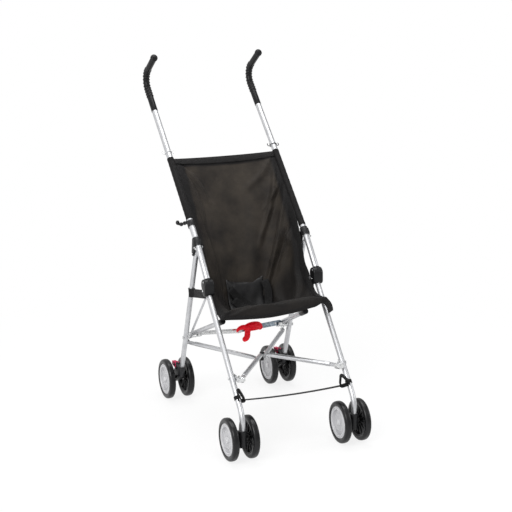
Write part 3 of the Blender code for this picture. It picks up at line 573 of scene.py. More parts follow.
def edgeWear(tree, low=0.52, high=0.62):
    # bright where an edge stands proud
    geometry = tree.nodes.new("ShaderNodeNewGeometry")
    return spread(tree, geometry.outputs["Pointiness"], 0.0, 1.0, low, high)


tubeLook = {"light": (0.61, 0.615, 0.63), "dark": (0.50, 0.505, 0.52), "metal": 0.80, "drawnLines": 0.01}


def makeTubeFinish():
    finish, tree, shader = startFinish("silverTube", tubeLook["light"], tubeLook["metal"], 0.32)
    lines = noiseNode(tree, stretched(tree, coordsOf(tree, "UV"), (160.0, 7.0, 1.0)), 1.0, 2.0)
    clouds = noiseNode(tree, coordsOf(tree), 42.0, 4.0)
    marks = noiseNode(tree, coordsOf(tree), 340.0, 6.0, 0.7)
    colour = mixColours(tree, spread(tree, clouds, 0.0, 1.0), tubeLook["light"], tubeLook["dark"])
    colour = mixColours(tree, spread(tree, marks, 0.0, 0.35, 0.62, 0.75), colour, (0.34, 0.34, 0.35))
    tree.links.new(colour, shader.inputs["Base Color"])
    rough = calc(tree, 'ADD', spread(tree, clouds, 0.30, 0.40), spread(tree, lines, -0.02, 0.03))
    tree.links.new(rough, shader.inputs["Roughness"])
    bump(tree, shader, lines, tubeLook["drawnLines"], 0.0002)
    return finish


def makeZincFinish(name, light, dark, rough):
    finish, tree, shader = startFinish(name, light, 0.92, rough)
    cells = addNode(tree, "ShaderNodeTexVoronoi", Scale=420.0)
    tree.links.new(coordsOf(tree), cells.inputs["Vector"])
    clouds = noiseNode(tree, coordsOf(tree), 160.0, 5.0)
    spangle = calc(tree, 'MULTIPLY', cells.outputs["Distance"], 0.6)
    shade = calc(tree, 'ADD', spangle, spread(tree, clouds, 0.0, 0.6))
    colour = mixColours(tree, spread(tree, shade, 0.0, 1.0, 0.15, 0.85), light, dark)
    tree.links.new(colour, shader.inputs["Base Color"])
    tree.links.new(spread(tree, clouds, rough - 0.08, rough + 0.12), shader.inputs["Roughness"])
    bump(tree, shader, clouds, 0.12, 0.0003)
    return finish


def makePlasticFinish(name, dark, light, rough, grain=1500.0, grainDepth=0.12, **more):
    # moulded plastic: a fine spark-eroded grain, slow shade changes, rubbed edges
    finish, tree, shader = startFinish(name, dark, 0.0, rough, **more)
    slow = noiseNode(tree, coordsOf(tree), 55.0, 3.0)
    fine = noiseNode(tree, coordsOf(tree), grain, 2.0)
    colour = mixColours(tree, spread(tree, slow, 0.0, 0.6), dark, light)
    colour = mixColours(tree, edgeWear(tree), colour, tuple(min(1.0, c * 1.7 + 0.006) for c in light))
    tree.links.new(colour, shader.inputs["Base Color"])
    level = calc(tree, 'ADD', spread(tree, slow, rough - 0.06, rough + 0.05), spread(tree, fine, -0.03, 0.04))
    tree.links.new(level, shader.inputs["Roughness"])
    bump(tree, shader, fine, grainDepth, 0.0003)
    return finish


# painted light: the panel colours hold the light that shines through the single cloth; double is the doubled
# edges, which let none through
clothLook = {"panelLight": (0.047, 0.039, 0.031), "panelDark": (0.014, 0.0118, 0.0105),
             "double": (0.0068, 0.0064, 0.0066), "thread": 0.00105, "weaveDepth": 0.35, "sheen": 0.03}


def weaveHeight(tree, uv, pitch):
    # over-and-under threads from two crossed waves
    waves = []
    for direction in ('X', 'Y'):
        wave = addNode(tree, "ShaderNodeTexWave", Scale=0.31416 / pitch, Distortion=0.15)
        wave.wave_type = 'BANDS'
        wave.bands_direction = direction
        tree.links.new(uv, wave.inputs["Vector"])
        waves.append(wave.outputs["Fac"])
    return calc(tree, 'MULTIPLY', waves[0], waves[1])


def makeClothFinish():
    finish, tree, shader = startFinish("wovenNylon", clothLook["panelDark"], 0.0, 0.62,
                                       Sheen_Weight=clothLook["sheen"], Sheen_Roughness=0.45,
                                       Specular_IOR_Level=0.14)
    uv = coordsOf(tree, "UV")
    threads = weaveHeight(tree, uv, clothLook["thread"])
    clouds = noiseNode(tree, coordsOf(tree), 14.0, 4.0)
    slubs = noiseNode(tree, stretched(tree, uv, (60.0, 900.0, 1.0)), 1.0, 3.0)
    panel = mixColours(tree, spread(tree, clouds, 0.0, 1.0), clothLook["panelDark"], clothLook["panelLight"])
    # painted light: the cloth is made lighter where light shines through the single layer, by the mask
    # painted on the sling
    thinLitThrough = tree.nodes.new("ShaderNodeAttribute")
    thinLitThrough.attribute_name = "thinLitThrough"
    colour = mixColours(tree, thinLitThrough.outputs["Fac"], clothLook["double"], panel)
    colour = mixColours(tree, spread(tree, threads, 0.0, 0.55, 0.0, 1.0), colour, (0.007, 0.006, 0.006))
    colour = mixColours(tree, spread(tree, slubs, 0.0, 0.25, 0.6, 0.8), colour, (0.060, 0.052, 0.046))
    tree.links.new(colour, shader.inputs["Base Color"])
    tree.links.new(spread(tree, clouds, 0.55, 0.70), shader.inputs["Roughness"])
    first = bump(tree, shader, threads, clothLook["weaveDepth"], 0.0003)
    bump(tree, shader, slubs, 0.12, 0.0003, first)
    return finish


def makeWebbingFinish(name, dark, light, pitch=0.0014):
    finish, tree, shader = startFinish(name, dark, 0.0, 0.6, Sheen_Weight=0.02, Sheen_Roughness=0.5,
                                       Specular_IOR_Level=0.16)
    uv = coordsOf(tree, "UV")
    threads = weaveHeight(tree, uv, pitch)
    slow = noiseNode(tree, coordsOf(tree), 120.0, 4.0)
    colour = mixColours(tree, spread(tree, slow, 0.0, 0.8), dark, light)
    colour = mixColours(tree, spread(tree, threads, 0.0, 0.6, 0.0, 1.0), colour, tuple(c * 0.4 for c in dark))
    tree.links.new(colour, shader.inputs["Base Color"])
    tree.links.new(spread(tree, slow, 0.52, 0.68), shader.inputs["Roughness"])
    bump(tree, shader, threads, 0.5, 0.0004)
    return finish


silverTube = makeTubeFinish()
brightZinc = makeZincFinish("brightZinc", (0.80, 0.80, 0.79), (0.58, 0.59, 0.60), 0.24)
galvanised = makeZincFinish("blueZinc", (0.40, 0.46, 0.51), (0.16, 0.20, 0.24), 0.36)
blackMoulded = makePlasticFinish("blackMoulded", (0.0045, 0.0045, 0.005), (0.009, 0.009, 0.010), 0.36,
                                 Specular_IOR_Level=0.24)
gripVinyl = makePlasticFinish("gripVinyl", (0.0035, 0.0035, 0.004), (0.007, 0.007, 0.008), 0.27, 2200.0, 0.2,
                              Specular_IOR_Level=0.22)
tyreFoam = makePlasticFinish("tyreFoam", (0.004, 0.004, 0.0045), (0.008, 0.008, 0.009), 0.30, 1100.0, 0.10,
                             Specular_IOR_Level=0.30)
rimGrey = makePlasticFinish("rimGrey", (0.46, 0.46, 0.475), (0.54, 0.54, 0.55), 0.36, 1300.0, 0.08)
rimRibBlack = makePlasticFinish("rimRibBlack", (0.006, 0.006, 0.0065), (0.011, 0.011, 0.012), 0.38,
                                Specular_IOR_Level=0.3)
redMoulded = makePlasticFinish("redMoulded", (0.80, 0.0002, 0.011), (0.90, 0.001, 0.018), 0.34, 900.0, 0.05,
                               Specular_IOR_Level=0.25)
brakeRed = makePlasticFinish("brakeRed", (0.50, 0.010, 0.060), (0.62, 0.030, 0.110), 0.32, 900.0, 0.05,
                             Specular_IOR_Level=0.25)
wovenNylon = makeClothFinish()
hemBinding = makeWebbingFinish("hemBinding", (0.0058, 0.0054, 0.0056), (0.010, 0.0094, 0.0096), 0.0012)
blackWebbing = makeWebbingFinish("blackWebbing", (0.005, 0.005, 0.0052), (0.010, 0.0096, 0.0098))
padCloth = makePlasticFinish("padCloth", (0.006, 0.006, 0.0065), (0.011, 0.0105, 0.011), 0.42, 700.0, 0.3,
                             Specular_IOR_Level=0.25)
sewingThread = makeWebbingFinish("sewingThread", (0.012, 0.011, 0.011), (0.022, 0.020, 0.019), 0.0006)
print("finishes made")


# camera, light and floor

studio = {
    "lens": 101.72, "sensor": 36.0, "camera": (-1.56970, -3.82535, 1.62478), "aim": (0.0, 0.0, 0.45),
    "turn": ((0.92323, 0.09949, -0.37113), (-0.38422, 0.24862, -0.88914), (0.00381, 0.96348, 0.26776)),
    # name, place, size in metres, watts
    "lamps": (("windowLeft", (-2.6, -2.4, 3.0), 2.2, 105.0), ("fillRight", (2.8, -1.6, 1.8), 1.8, 22.0),
              ("overhead", (0.2, 0.6, 3.6), 2.6, 60.0)),
    "roomLight": 0.46, "floorReach": 14.0, "floorSteps": 8, "floorDrop": -0.0004,
}


def stageCamera():
    lens = bpy.data.cameras.new("photoView")
    lens.sensor_width = studio["sensor"]
    lens.lens = studio["lens"]
    lens.clip_end = 60.0
    camera = addObject("photoView", lens)
    camera.matrix_world = Matrix.Translation(studio["camera"]) @ Matrix(studio["turn"]).to_4x4()
    scene.camera = camera
    scene.view_settings.view_transform = 'Standard'


def seenStraight(tree):
    # rays that reach the eye without a bounce, and the ray node itself
    path = tree.nodes.new("ShaderNodeLightPath")
    return calc(tree, 'ADD', path.outputs["Is Camera Ray"], path.outputs["Is Transmission Ray"]), path


def stageRoom():
    world = bpy.data.worlds.new("studio")
    scene.world = world
    world.use_nodes = True
    tree = world.node_tree
    back = tree.nodes["Background"]
    direction = tree.nodes.new("ShaderNodeTexCoord").outputs["Generated"]
    split = tree.nodes.new("ShaderNodeSeparateXYZ")
    tree.links.new(direction, split.inputs["Vector"])
    # seen in metal, the room is white on the left and above, and falls off to the right and below
    lean = calc(tree, 'ADD', calc(tree, 'MULTIPLY', split.outputs["X"], -0.62),
                calc(tree, 'MULTIPLY', split.outputs["Z"], 0.45))
    shine = spread(tree, lean, 0.34, 0.98, -0.55, 0.60)
    seen, path = seenStraight(tree)
    isShine = path.outputs["Is Glossy Ray"]
    room = studio["roomLight"]
    plain = calc(tree, 'ADD', room, calc(tree, 'MULTIPLY', seen, 1.0 - room))
    level = calc(tree, 'ADD', calc(tree, 'MULTIPLY', plain, calc(tree, 'SUBTRACT', 1.0, isShine)),
                 calc(tree, 'MULTIPLY', shine, isShine))
    tree.links.new(level, back.inputs["Strength"])
    back.inputs["Color"].default_value = (1.0, 1.0, 1.0, 1.0)


def stageLamps():
    for name, where, size, power in studio["lamps"]:
        lamp = bpy.data.lights.new(name, 'AREA')
        lamp.shape = 'DISK'
        lamp.size = size
        lamp.energy = power
        light = addObject(name, lamp)
        aim = (Vector(studio["aim"]) - Vector(where)).to_track_quat('-Z', 'Y')
        light.matrix_world = Matrix.Translation(where) @ aim.to_matrix().to_4x4()


def stageFloor():
    reach, steps = studio["floorReach"], studio["floorSteps"]
    line = [-reach + 2 * reach * i / steps for i in range(steps + 1)]
    verts = [Vector((x, y, studio["floorDrop"])) for x in line for y in line]
    faces = []
    for i in range(steps):
        for j in range(steps):
            a = i * (steps + 1) + j
            faces.append((a, a + steps + 1, a + steps + 2, a + 1))
    mesh = bpy.data.meshes.new("studioFloor")
    mesh.from_pydata([tuple(v) for v in verts], [], faces)
    floor = addObject("studioFloor", mesh)
    white = bpy.data.materials.new("paleFloor")
    white.use_nodes = True
    tree = white.node_tree
    shader = tree.nodes["Principled BSDF"]
    shader.inputs["Roughness"].default_value = 0.9
    shader.inputs["Specular IOR Level"].default_value = 0.0
    glow = addNode(tree, "ShaderNodeEmission", Color=(1.0, 1.0, 1.0, 1.0), Strength=1.0)
    shader.inputs["Base Color"].default_value = (0.95, 0.95, 0.95, 1.0)
    mix = tree.nodes.new("ShaderNodeMixShader")
    seen, path = seenStraight(tree)
    seen = calc(tree, 'ADD', seen, calc(tree, 'MULTIPLY', path.outputs["Is Glossy Ray"], 0.6))
    # the floor runs out to plain white away from the stroller
    far = tree.nodes.new("ShaderNodeVectorMath")
    far.operation = 'LENGTH'
    tree.links.new(coordsOf(tree), far.inputs[0])
    share = spread(tree, far.outputs["Value"], 0.82, 1.0, 0.35, 1.25)
    tree.links.new(calc(tree, 'MULTIPLY', seen, share), mix.inputs["Fac"])
    tree.links.new(shader.outputs["BSDF"], mix.inputs[1])
    tree.links.new(glow.outputs["Emission"], mix.inputs[2])
    tree.links.new(mix.outputs["Shader"], tree.nodes["Material Output"].inputs["Surface"])
    mesh.materials.append(white)


stageCamera()
stageRoom()
stageLamps()
stageFloor()
print("stage set")

sides = (("left", -1), ("right", 1))


def sidePoint(side, yz):
    return at(side * sideX, yz[0], yz[1])


# main tubes, legs and other silver tubes

tubes = {
    # (y, z) of each point on a side frame
    "gripEnd": (0.428, 1.0325), "handleCorner": (0.5325, 0.9565), "gripFoot": (0.4325, 0.866),
    "hem": (0.294, 0.745),
    "upperPivot": (0.056, 0.5300), "rearPivot": (0.0755, 0.5085), "blockUpper": (-0.021, 0.4435),
    "blockLower": (-0.0145, 0.420), "frontLow": (-0.2700, 0.1474), "rearFoot": (0.2196, 0.0825),
    "footY": -0.2845, "stemTop": 0.0925, "stemEnd": 0.050, "stemR": 0.004,
    "mainR": 0.009, "frontR": 0.008, "rearR": 0.0075,
}


def unit(a, b):
    return (Vector(b) - Vector(a)).normalized()


def handlePath(side):
    down = unit(tubes["upperPivot"], tubes["blockUpper"])
    tail = Vector(tubes["blockUpper"]) + down * 0.004
    names = ("gripEnd", "handleCorner", "gripFoot", "hem", "upperPivot")
    points = [sidePoint(side, tubes[n]) for n in names] + [sidePoint(side, tail)]
    return filletPath(points, [0.038, 0.05, 0.4, 0.04], 12)


def makeTubes():
    for label, side in sides:
        dense = handlePath(side)
        tube = sweep("handleTube_" + label, dense, tubeRings(dense, tubes["mainR"], 0.004), silverTube, 36)
        stand(tube, "handle_tube_" + label)
        top, low = Vector(tubes["blockLower"]), Vector(tubes["frontLow"])
        footY = tubes["footY"]
        line = (top + unit(low, top) * 0.004, low, (footY, 0.120), (footY, 0.0918))
        dense = filletPath([sidePoint(side, yz) for yz in line], [0.10, 0.06], 10)
        leg = sweep("frontLeg_" + label, dense, tubeRings(dense, tubes["frontR"]), silverTube, 36)
        ends = [sidePoint(side, (footY, tubes[key])) for key in ("stemTop", "stemEnd")]
        stem = rod("stem", ends[0], ends[1], tubes["stemR"], silverTube)
        stand(joinMeshes("frontLeg_" + label, [leg, stem]), "front_leg_" + label)
        down = unit(tubes["rearPivot"], tubes["rearFoot"])
        top = Vector(tubes["rearPivot"]) - down * 0.007
        dense = [sidePoint(side, top), sidePoint(side, tubes["rearFoot"])]
        leg = sweep("rearLeg_" + label, dense, tubeRings(dense, tubes["rearR"]), silverTube, 36)
        stand(leg, "rear_leg_" + label)


makeTubes()
print("tubes made")


# grips

grip = {"bodyR": 0.0096, "sleeveR": 0.0098, "boreR": 0.0093, "ribR": 0.0017, "ribs": 11, "ribFrom": 0.101,
        "ribFoot": (0.475, 0.905)}


def makeGrips():
    for label, side in sides:
        dense = handlePath(side)
        frames = pathFrames(dense)
        end = nearestLength(dense, frames, sidePoint(side, tubes["gripFoot"]))
        ribFoot = nearestLength(dense, frames, sidePoint(side, grip["ribFoot"]))
        r = grip["bodyR"]
        bore = grip["boreR"]
        rings = [(0.0045, 0.0), (0.0045, bore)] + [(s, bore) for s in frames[0] if 0.006 < s < end - 0.002]
        rings += [(end, bore), (end, grip["sleeveR"] - 0.0002)]
        outer = [(end - 0.0006, grip["sleeveR"]), (ribFoot + 0.006, grip["sleeveR"]), (ribFoot + 0.002, r)]
        outer += [(s, r) for s in reversed(frames[0]) if 0.004 < s < ribFoot]
        outer += [(0.0032, r), (0.0016, r - 0.0004), (0.0006, r - 0.0012), (0.0, r - 0.0024), (0.0, 0.0)]
        body = sweep("gripBody", dense, rings + outer, gripVinyl, 40)
        # a round lip at the top and ribs for the fingers below the bend
        ring = ringPart("ribRing", r - 0.0001, grip["ribR"], 40, 8)
        reach = grip["ribFrom"]
        span = [along(dense, frames, ribFoot - reach + reach * k / 40)[0] for k in range(41)]
        ribs = rowAlong("ribs", [span], ring, grip["ribs"], gripVinyl)
        lipLine = [along(dense, frames, s)[0] for s in (0.0046, 0.0080)]
        lip = rowAlong("lip", [lipLine], ring, 2, gripVinyl)
        discard(ring)
        stand(joinMeshes("grip_" + label + "_made", [body, ribs, lip]), "grip_" + label)


def ringPart(name, major, minor, around, section):
    verts = []
    for i in range(around):
        a = 2 * math.pi * i / around
        for k in range(section):
            b = 2 * math.pi * k / section
            r = major + minor * math.cos(b)
            verts.append(Vector((r * math.cos(a), r * math.sin(a), minor * 1.35 * math.sin(b))))
    return meshObject(name, verts, ringFaces(around, section), None)


makeGrips()
print("grips made")


# wheels

wheel = {"r": 0.0612, "offset": 0.0305, "frontY": -0.2591, "rearY": 0.2624,
         "ribs": 12, "fin": (0.0128, 0.0434), "finHalf": 0.0007,
         # shallow curved grooves in the disc, from and to in degrees
         "grooves": ((8, 62), (128, 182), (248, 302)), "grooveDeep": 0.0016, "webFrom": 0.0265,
         "webTo": 0.0364,
         # how far each wheel stands turned, so that the ribs of a pair don't line up
         "turned": {"front": 20, "rear": 75}, "turnStep": 40}


def lathe(name, profile, finish, segments=64, push=None):
    # profile is (x, r) points of a closed loop about the X axis; push(angle, x, r) may move a point
    verts = []
    for i in range(segments):
        a = 2 * math.pi * i / segments
        for x, r in profile:
            if push:
                x, r = push(a, x, r)
            verts.append(Vector((x, r * math.cos(a), r * math.sin(a))))
    return meshObject(name, verts, ringFaces(segments, len(profile)), finish)


def groovePush(angle, x, r):
    degrees = math.degrees(angle) % 360
    for a, b in wheel["grooves"]:
        if a <= degrees <= b and wheel["webFrom"] < r < wheel["webTo"] and 0.0030 < x < 0.0042:
            return x - wheel["grooveDeep"], r
    return x, r


def wheelParts():
    # one wheel about the X axis with its capped side towards +X
    half = metres([(-8.2, 46.8), (-9.4, 48), (-10, 50.8), (-9.9, 54.5), (-9.4, 56.8), (-8.4, 58.8),
                   (-6.8, 60.2), (-4, 61), (-0.6, 61.2)])
    tyre = half + metres([(0, 61.05)]) + [(-x, r) for x, r in reversed(half)]
    face = metres([(0.4, 4), (6.6, 4), (7.8, 4.8), (7.8, 7.4), (6.6, 8.8), (4, 9.8), (3.6, 11),
                   (3.8, 18), (4, 22.8), (4.9, 23.6), (5, 25.2), (4, 26), (3.6, 33), (3.6, 36.2),
                   (4.2, 37), (7.8, 37.4), (8.5, 38), (8.5, 40), (7.9, 40.4), (7.9, 41.6), (8.6, 42),
                   (8.8, 43), (8.8, 45), (8.4, 45.8), (7.4, 46.4), (2, 46.6), (1.2, 44), (0.8, 35),
                   (0.4, 20)])
    back = metres([(0.2, 4), (-0.2, 20), (0.6, 44), (1.6, 46.6), (-8.2, 46.6), (-8.7, 46),
                   (-8.7, 44.6), (-8, 43.8), (-2.4, 43), (-2.2, 38), (-2.2, 13), (-3, 11.2),
                   (-9, 10.6), (-9.6, 10), (-9.6, 4.8), (-9, 4)])
    tyrePiece = lathe("tyre", tyre, tyreFoam, 96)
    facePiece = lathe("face", face, rimGrey, 96, groovePush)
    facePiece.data.set_sharp_from_angle(angle=math.radians(38))
    backPiece = lathe("back", back, rimRibBlack, 72)
    backPiece.data.set_sharp_from_angle(angle=math.radians(42))
    dense = [Vector((-0.0002, 0, 0)), Vector((0.0080, 0, 0))]
    rings = metres([(0, 0), (0, 4.05), (7, 4.05), (7.8, 3.6), (8, 2.4), (8, 0)])
    plug = sweep("hubPlug", dense, rings, rimGrey, 24)
    cap = domedHead("axleEnd", (0.0078, 0, 0), (1, 0, 0), 0.0013, 0.0010, brightZinc, 16)
    cap = joinMeshes("hubMiddle", [plug, cap])
    # ribs behind the web, each a thin fin from the hub to the rim
    fin = finPart(*wheel["fin"])
    pieces = []
    for k in range(wheel["ribs"]):
        a = 2 * math.pi * k / wheel["ribs"]
        pieces.append(placed(fin, "fin", Matrix.Rotation(a, 4, 'X')))
    discard(fin)
    ribs = joinMeshes("ribs", pieces)
    rim = joinMeshes("rim", [facePiece, backPiece, cap, ribs])
    return tyrePiece, rim


def finPart(inner, outer):
    outline = [(-0.0023, inner), (-0.0078, inner), (-0.0052, inner + 0.010), (-0.0050, outer - 0.006),
               (-0.0076, outer), (-0.0023, outer)]
    verts = [Vector((x, r, way * wheel["finHalf"])) for way in (-1, 1) for x, r in outline]
    return meshObject("fin", verts, prismFaces(len(outline)), rimRibBlack, False)


def placed(piece, name, matrix):
    mesh = piece.data.copy()
    mesh.transform(matrix)
    return addObject(name, mesh)


def makeWheels():
    tyre, rim = wheelParts()
    for label, side in sides:
        for end, y in (("front", wheel["frontY"]), ("rear", wheel["rearY"])):
            for spot, way in (("outer", side), ("inner", -side)):
                centre = at(side * sideX + way * wheel["offset"], y, wheel["r"])
                spin = Matrix.Rotation(math.radians(0 if way > 0 else 180), 4, 'Z')
                turned = wheel["turned"][end] + wheel["turnStep"] * way
                tilt = Matrix.Rotation(math.radians(turned), 4, 'X')
                matrix = Matrix.Translation(centre) @ spin @ tilt
                key = label + "_" + spot
                stand(placed(tyre, end + "Tyre_" + key, matrix), end + "_tyre_" + key)
                stand(placed(rim, end + "Rim_" + key, matrix), end + "_rim_" + key)
    discard(tyre)
    discard(rim)


makeWheels()
print("wheels made")


# fittings: some keep the CAD shape with broken edges, others are built anew

def rivetPair(x, y, z, reach, r=0.0031):
    # silver rivet heads on both faces of a fitting
    heads = []
    for way in (-1, 1):
        base = at(x + way * (reach - 0.0002), y, z)
        heads.append(domedHead("rivet", base, (way, 0, 0), r, 0.0013, brightZinc))
    return heads


def ownJoin(nodeName, pieces):
    stand(joinMeshes(nodeName + "_made", pieces), nodeName)


upperBracket = {"x": 0.1720, "half": 0.0125}


def makeUpperBracket(label, side):
    shell = refine("upper_bracket_" + label, blackMoulded, 0.0007, keep=False)
    heads = []
    for y, z in (tubes["upperPivot"], tubes["rearPivot"]):
        heads += rivetPair(side * upperBracket["x"], y, z, upperBracket["half"])
    ownJoin("upper_bracket_" + label, [shell] + heads)


# barrel, neck and rivets are (y, z, radius)
block = {"barrel": (-0.0170, 0.4375, 0.0168), "neck": (-0.0235, 0.4165, 0.0112), "inner": 0.1560,
         "outer": 0.1858, "sleeve": (0.002, 0.0155), "sleeveR": 0.0104, "collarR": 0.0106, "collar": 0.0125,
         "rivets": ((-0.0145, 0.4200, 0.0034), (-0.0205, 0.4470, 0.0026))}


def makeConnectorBlock(label, side):
    (ay, az, ar), (by, bz, br) = block["barrel"], block["neck"]
    outline = hullOutline([(ay, az), (by, bz)], [ar, br], 14)
    inner, outer = side * block["inner"], side * block["outer"]
    body = extrude("block", outline, lambda u, v, d: at(d, u, v), inner, outer, blackMoulded, 0.0034, 4)
    lowest = Vector(tubes["blockLower"])
    run = unit(tubes["blockLower"], tubes["frontLow"])
    a, b = [sidePoint(side, lowest + run * far) for far in block["sleeve"]]
    sleeve = rod("neckSleeve", a, b, block["sleeveR"], blackMoulded, 32, 0.0012)
    top = Vector(tubes["blockUpper"])
    back = unit(tubes["blockUpper"], tubes["upperPivot"])
    foot = sidePoint(side, top + back * block["collar"])
    collar = rod("collar", sidePoint(side, top), foot, block["collarR"], blackMoulded, 32, 0.0014)
    middle = side * (block["inner"] + block["outer"]) / 2
    reach = (block["outer"] - block["inner"]) / 2
    heads = []
    for y, z, r in block["rivets"]:
        heads += rivetPair(middle, y, z, reach, r)
    ownJoin("connector_block_" + label, [body, sleeve, collar] + heads)


# ends are (x, z) with their radii; faces are the two y of the plate; rivets are (x, z, which way they face)
lockLink = {"ends": [(0.0, 0.2250), (0.131, 0.2335)], "endR": [0.0074, 0.0082], "faces": (0.1610, 0.1640),
            "rivets": ((0.118, 0.2330, -1), (0.062, 0.2259, -1), (0.132, 0.2310, 1)), "rivetR": 0.0036,
            "rivetHigh": 0.0016, "middle": 0.1625, "half": 0.0014}


def makeLockLinks():
    refine("lock_link_left", brightZinc, 0.0004)
    outline = hullOutline(lockLink["ends"], lockLink["endR"], 12)
    near, far = lockLink["faces"]
    plate = extrude("plate", outline, lambda u, v, d: at(u, d, v), near, far, galvanised, 0.0006, 3)
    heads = []
    for x, z, way in lockLink["rivets"]:
        base = at(x, lockLink["middle"] + way * lockLink["half"], z)
        r, high = lockLink["rivetR"], lockLink["rivetHigh"]
        heads.append(domedHead("rivet", base, (0, way, 0), r, high, brightZinc))
    ownJoin("lock_link_right", [plate] + heads)


latch = {
    "body": [(0.0615, 0.2345), (0.0550, 0.2355), (0.0400, 0.2358), (0.0240, 0.2345), (0.0120, 0.2335)],
    "bodyR": [0.0105, 0.0134, 0.0146, 0.0130, 0.0080],
    "hook": [(0.0190, 0.2345), (0.0070, 0.2365), (-0.0025, 0.2345), (-0.0095, 0.2300), (-0.0120, 0.2250)],
    "hookR": [0.0078, 0.0074, 0.0068, 0.0054, 0.0034],
    "lever": [(0.0240, 0.2290), (0.0220, 0.2190), (0.0215, 0.2090), (0.0185, 0.2005), (0.0120, 0.1965)],
    "leverR": [0.0105, 0.0094, 0.0098, 0.0096, 0.0084],
    "y": 0.1525, "flat": 0.66, "voxel": 0.0008, "eye": (0.062, 0.2310), "eyeR": 0.0088,
    "ridges": 4, "ridgeFrom": 0.2262, "ridgeStep": 0.0050,
}


def blob(name, points, radii):
    dense = smoothPath([at(x, latch["y"], z) for x, z in points], 6)
    lengths = pathFrames(dense)[0]
    sizes = smoothPath([Vector((r, 0, 0)) for r in radii], 6)
    first, last = sizes[0].x, sizes[-1].x
    rings = [(-first * 0.8, 0.0), (-first * 0.7, first * 0.5), (-first * 0.4, first * 0.85)]
    rings += [(s, r.x) for s, r in zip(lengths, sizes)]
    # a soft round end
    for k in range(1, 5):
        a = math.pi / 2 * k / 5
        rings.append((lengths[-1] + last * 0.8 * math.sin(a), last * math.cos(a)))
    rings.append((lengths[-1] + last * 0.8, 0.0))
    run = (dense[-1] - dense[-2]).normalized()
    dense = dense + [dense[-1] + run * last]
    return sweep(name, dense, rings, redMoulded, 24, hint=(0, 1, 0))


def makeLatch():
    parts = []
    for key, name in (("body", "latchBody"), ("hook", "latchHook"), ("lever", "latchLever")):
        parts.append(blob(name, latch[key], latch[key + "R"]))
    x, z = latch["eye"]
    eye = [at(x, latch["y"] - 0.0065, z), at(x, latch["y"] + 0.0070, z)]
    parts.append(rod("latchEye", eye[0], eye[1], latch["eyeR"], redMoulded, 24, 0.001))
    piece = joinMeshes("release_latch_made", parts)
    for vertex in piece.data.vertices:
        vertex.co.y = latch["y"] - frameMiddle + (vertex.co.y - latch["y"] + frameMiddle) * latch["flat"]
    melt = piece.modifiers.new("melt", 'REMESH')
    melt.mode = 'VOXEL'
    melt.voxel_size = latch["voxel"]
    ease = piece.modifiers.new("ease", 'SMOOTH')
    ease.factor = 0.5
    ease.iterations = 6
    settle(piece, 60)
    piece.data.materials.clear()
    piece.data.materials.append(redMoulded)
    # moulded ridges for the thumb
    extra = []
    for k in range(latch["ridges"]):
        z = latch["ridgeFrom"] + latch["ridgeStep"] * k
        line = [at(0.0250, latch["y"] - 0.0088, z), at(0.0510, latch["y"] - 0.0088, z + 0.0008)]
        rings = [(0, 0), (0.001, 0.0007), (0.013, 0.0010), (0.025, 0.0007), (0.026, 0)]
        extra.append(sweep("ridge", line, rings, redMoulded, 10))
    stand(joinMeshes("release_latch_made", [piece] + extra), "release_latch")


rail = {"tip": (0.131, -0.031, 0.327), "heel": (0.147, 0.186, 0.224), "plugR": 0.0086, "plugIn": 0.040,
        "plugOut": 0.0030}


def makeRails():
    for label, side in sides:
        tube = refine("seat_rail_" + label, silverTube, 0.0004, keep=False)
        a, b = [at(side * x, y, z) for x, y, z in (rail["tip"], rail["heel"])]
        run = (b - a).normalized()
        ends = a - run * rail["plugOut"], a + run * rail["plugIn"]
        plug = rod("railPlug", ends[0], ends[1], rail["plugR"], blackMoulded, 32, 0.0016)
        ownJoin("seat_rail_" + label, [tube, plug])


# the levers are narrower and taller than the CAD ones: shift and share across, middle heights and share up
brake = {"shift": -0.0045, "across": 0.44, "cadMiddle": 0.1120, "middle": 0.1095, "up": 1.7}


def makeBrakes():
    for label, side in sides:
        lever = refine("brake_lever_" + label, brakeRed, 0.0009, keep=False)
        middle = side * sideX
        for vertex in lever.data.vertices:
            vertex.co.x = middle + brake["shift"] + (vertex.co.x - middle) * brake["across"]
            vertex.co.z = brake["middle"] + (vertex.co.z - brake["cadMiddle"]) * brake["up"]
        stand(lever, "brake_lever_" + label)


hook = {
    "path": metres([(-179, 127, 589), (-183, 142, 583), (-190, 156, 577), (-195, 164, 579),
                    (-196.5, 165, 587)]),
    "r": 0.0047, "swell": 0.0013, "swells": 420,
}


def makeHook():
    ring = refine("storage_hook", blackMoulded, 0.0006, keep=False)
    path = smoothPath([at(*point) for point in hook["path"]], 8)
    lengths = pathFrames(path)[0]
    rings = [(0, 0), (0.0002, 0.0040)]
    rings += [(s, hook["r"] + hook["swell"] * math.cos(s * hook["swells"])) for s in lengths[1:-1]]
    rings += [(lengths[-1] - 0.0004, 0.0026), (lengths[-1], 0)]
    arm = sweep("hookArm", path, rings, blackMoulded, 16)
    ownJoin("storage_hook", [ring, arm])


# bare is how far from the middle the axle shows as steel
axle = {"reach": 0.0392, "r": 0.0046, "bare": 0.0115}


def makeHousing(nodeName, side, axleY):
    # the axle that runs through the housing is steel and ends flush with the hubs
    shell = refine(nodeName, blackMoulded, 0.0009, keep=False)
    middle = side * sideX
    mesh = shell.data
    mesh.materials.append(brightZinc)
    for vertex in mesh.vertices:
        off = vertex.co.x - middle
        if abs(off) > axle["reach"]:
            vertex.co.x = middle + math.copysign(axle["reach"], off)
    for face in mesh.polygons:
        c = face.center
        near = math.hypot(c.y - axleY + frameMiddle, c.z - wheel["r"]) < axle["r"]
        if near and abs(c.x - middle) > axle["bare"]:
            face.material_index = 1
    stand(shell, nodeName)


brace = {"r": 0.0066, "frontPivot": (0.148, -0.218, 0.2185), "rearPivot": (0.156, 0.1915, 0.197),
         "hub": (-0.013, 0.1975), "lift": 0.0092, "start": 0.024, "stop": 0.0075}


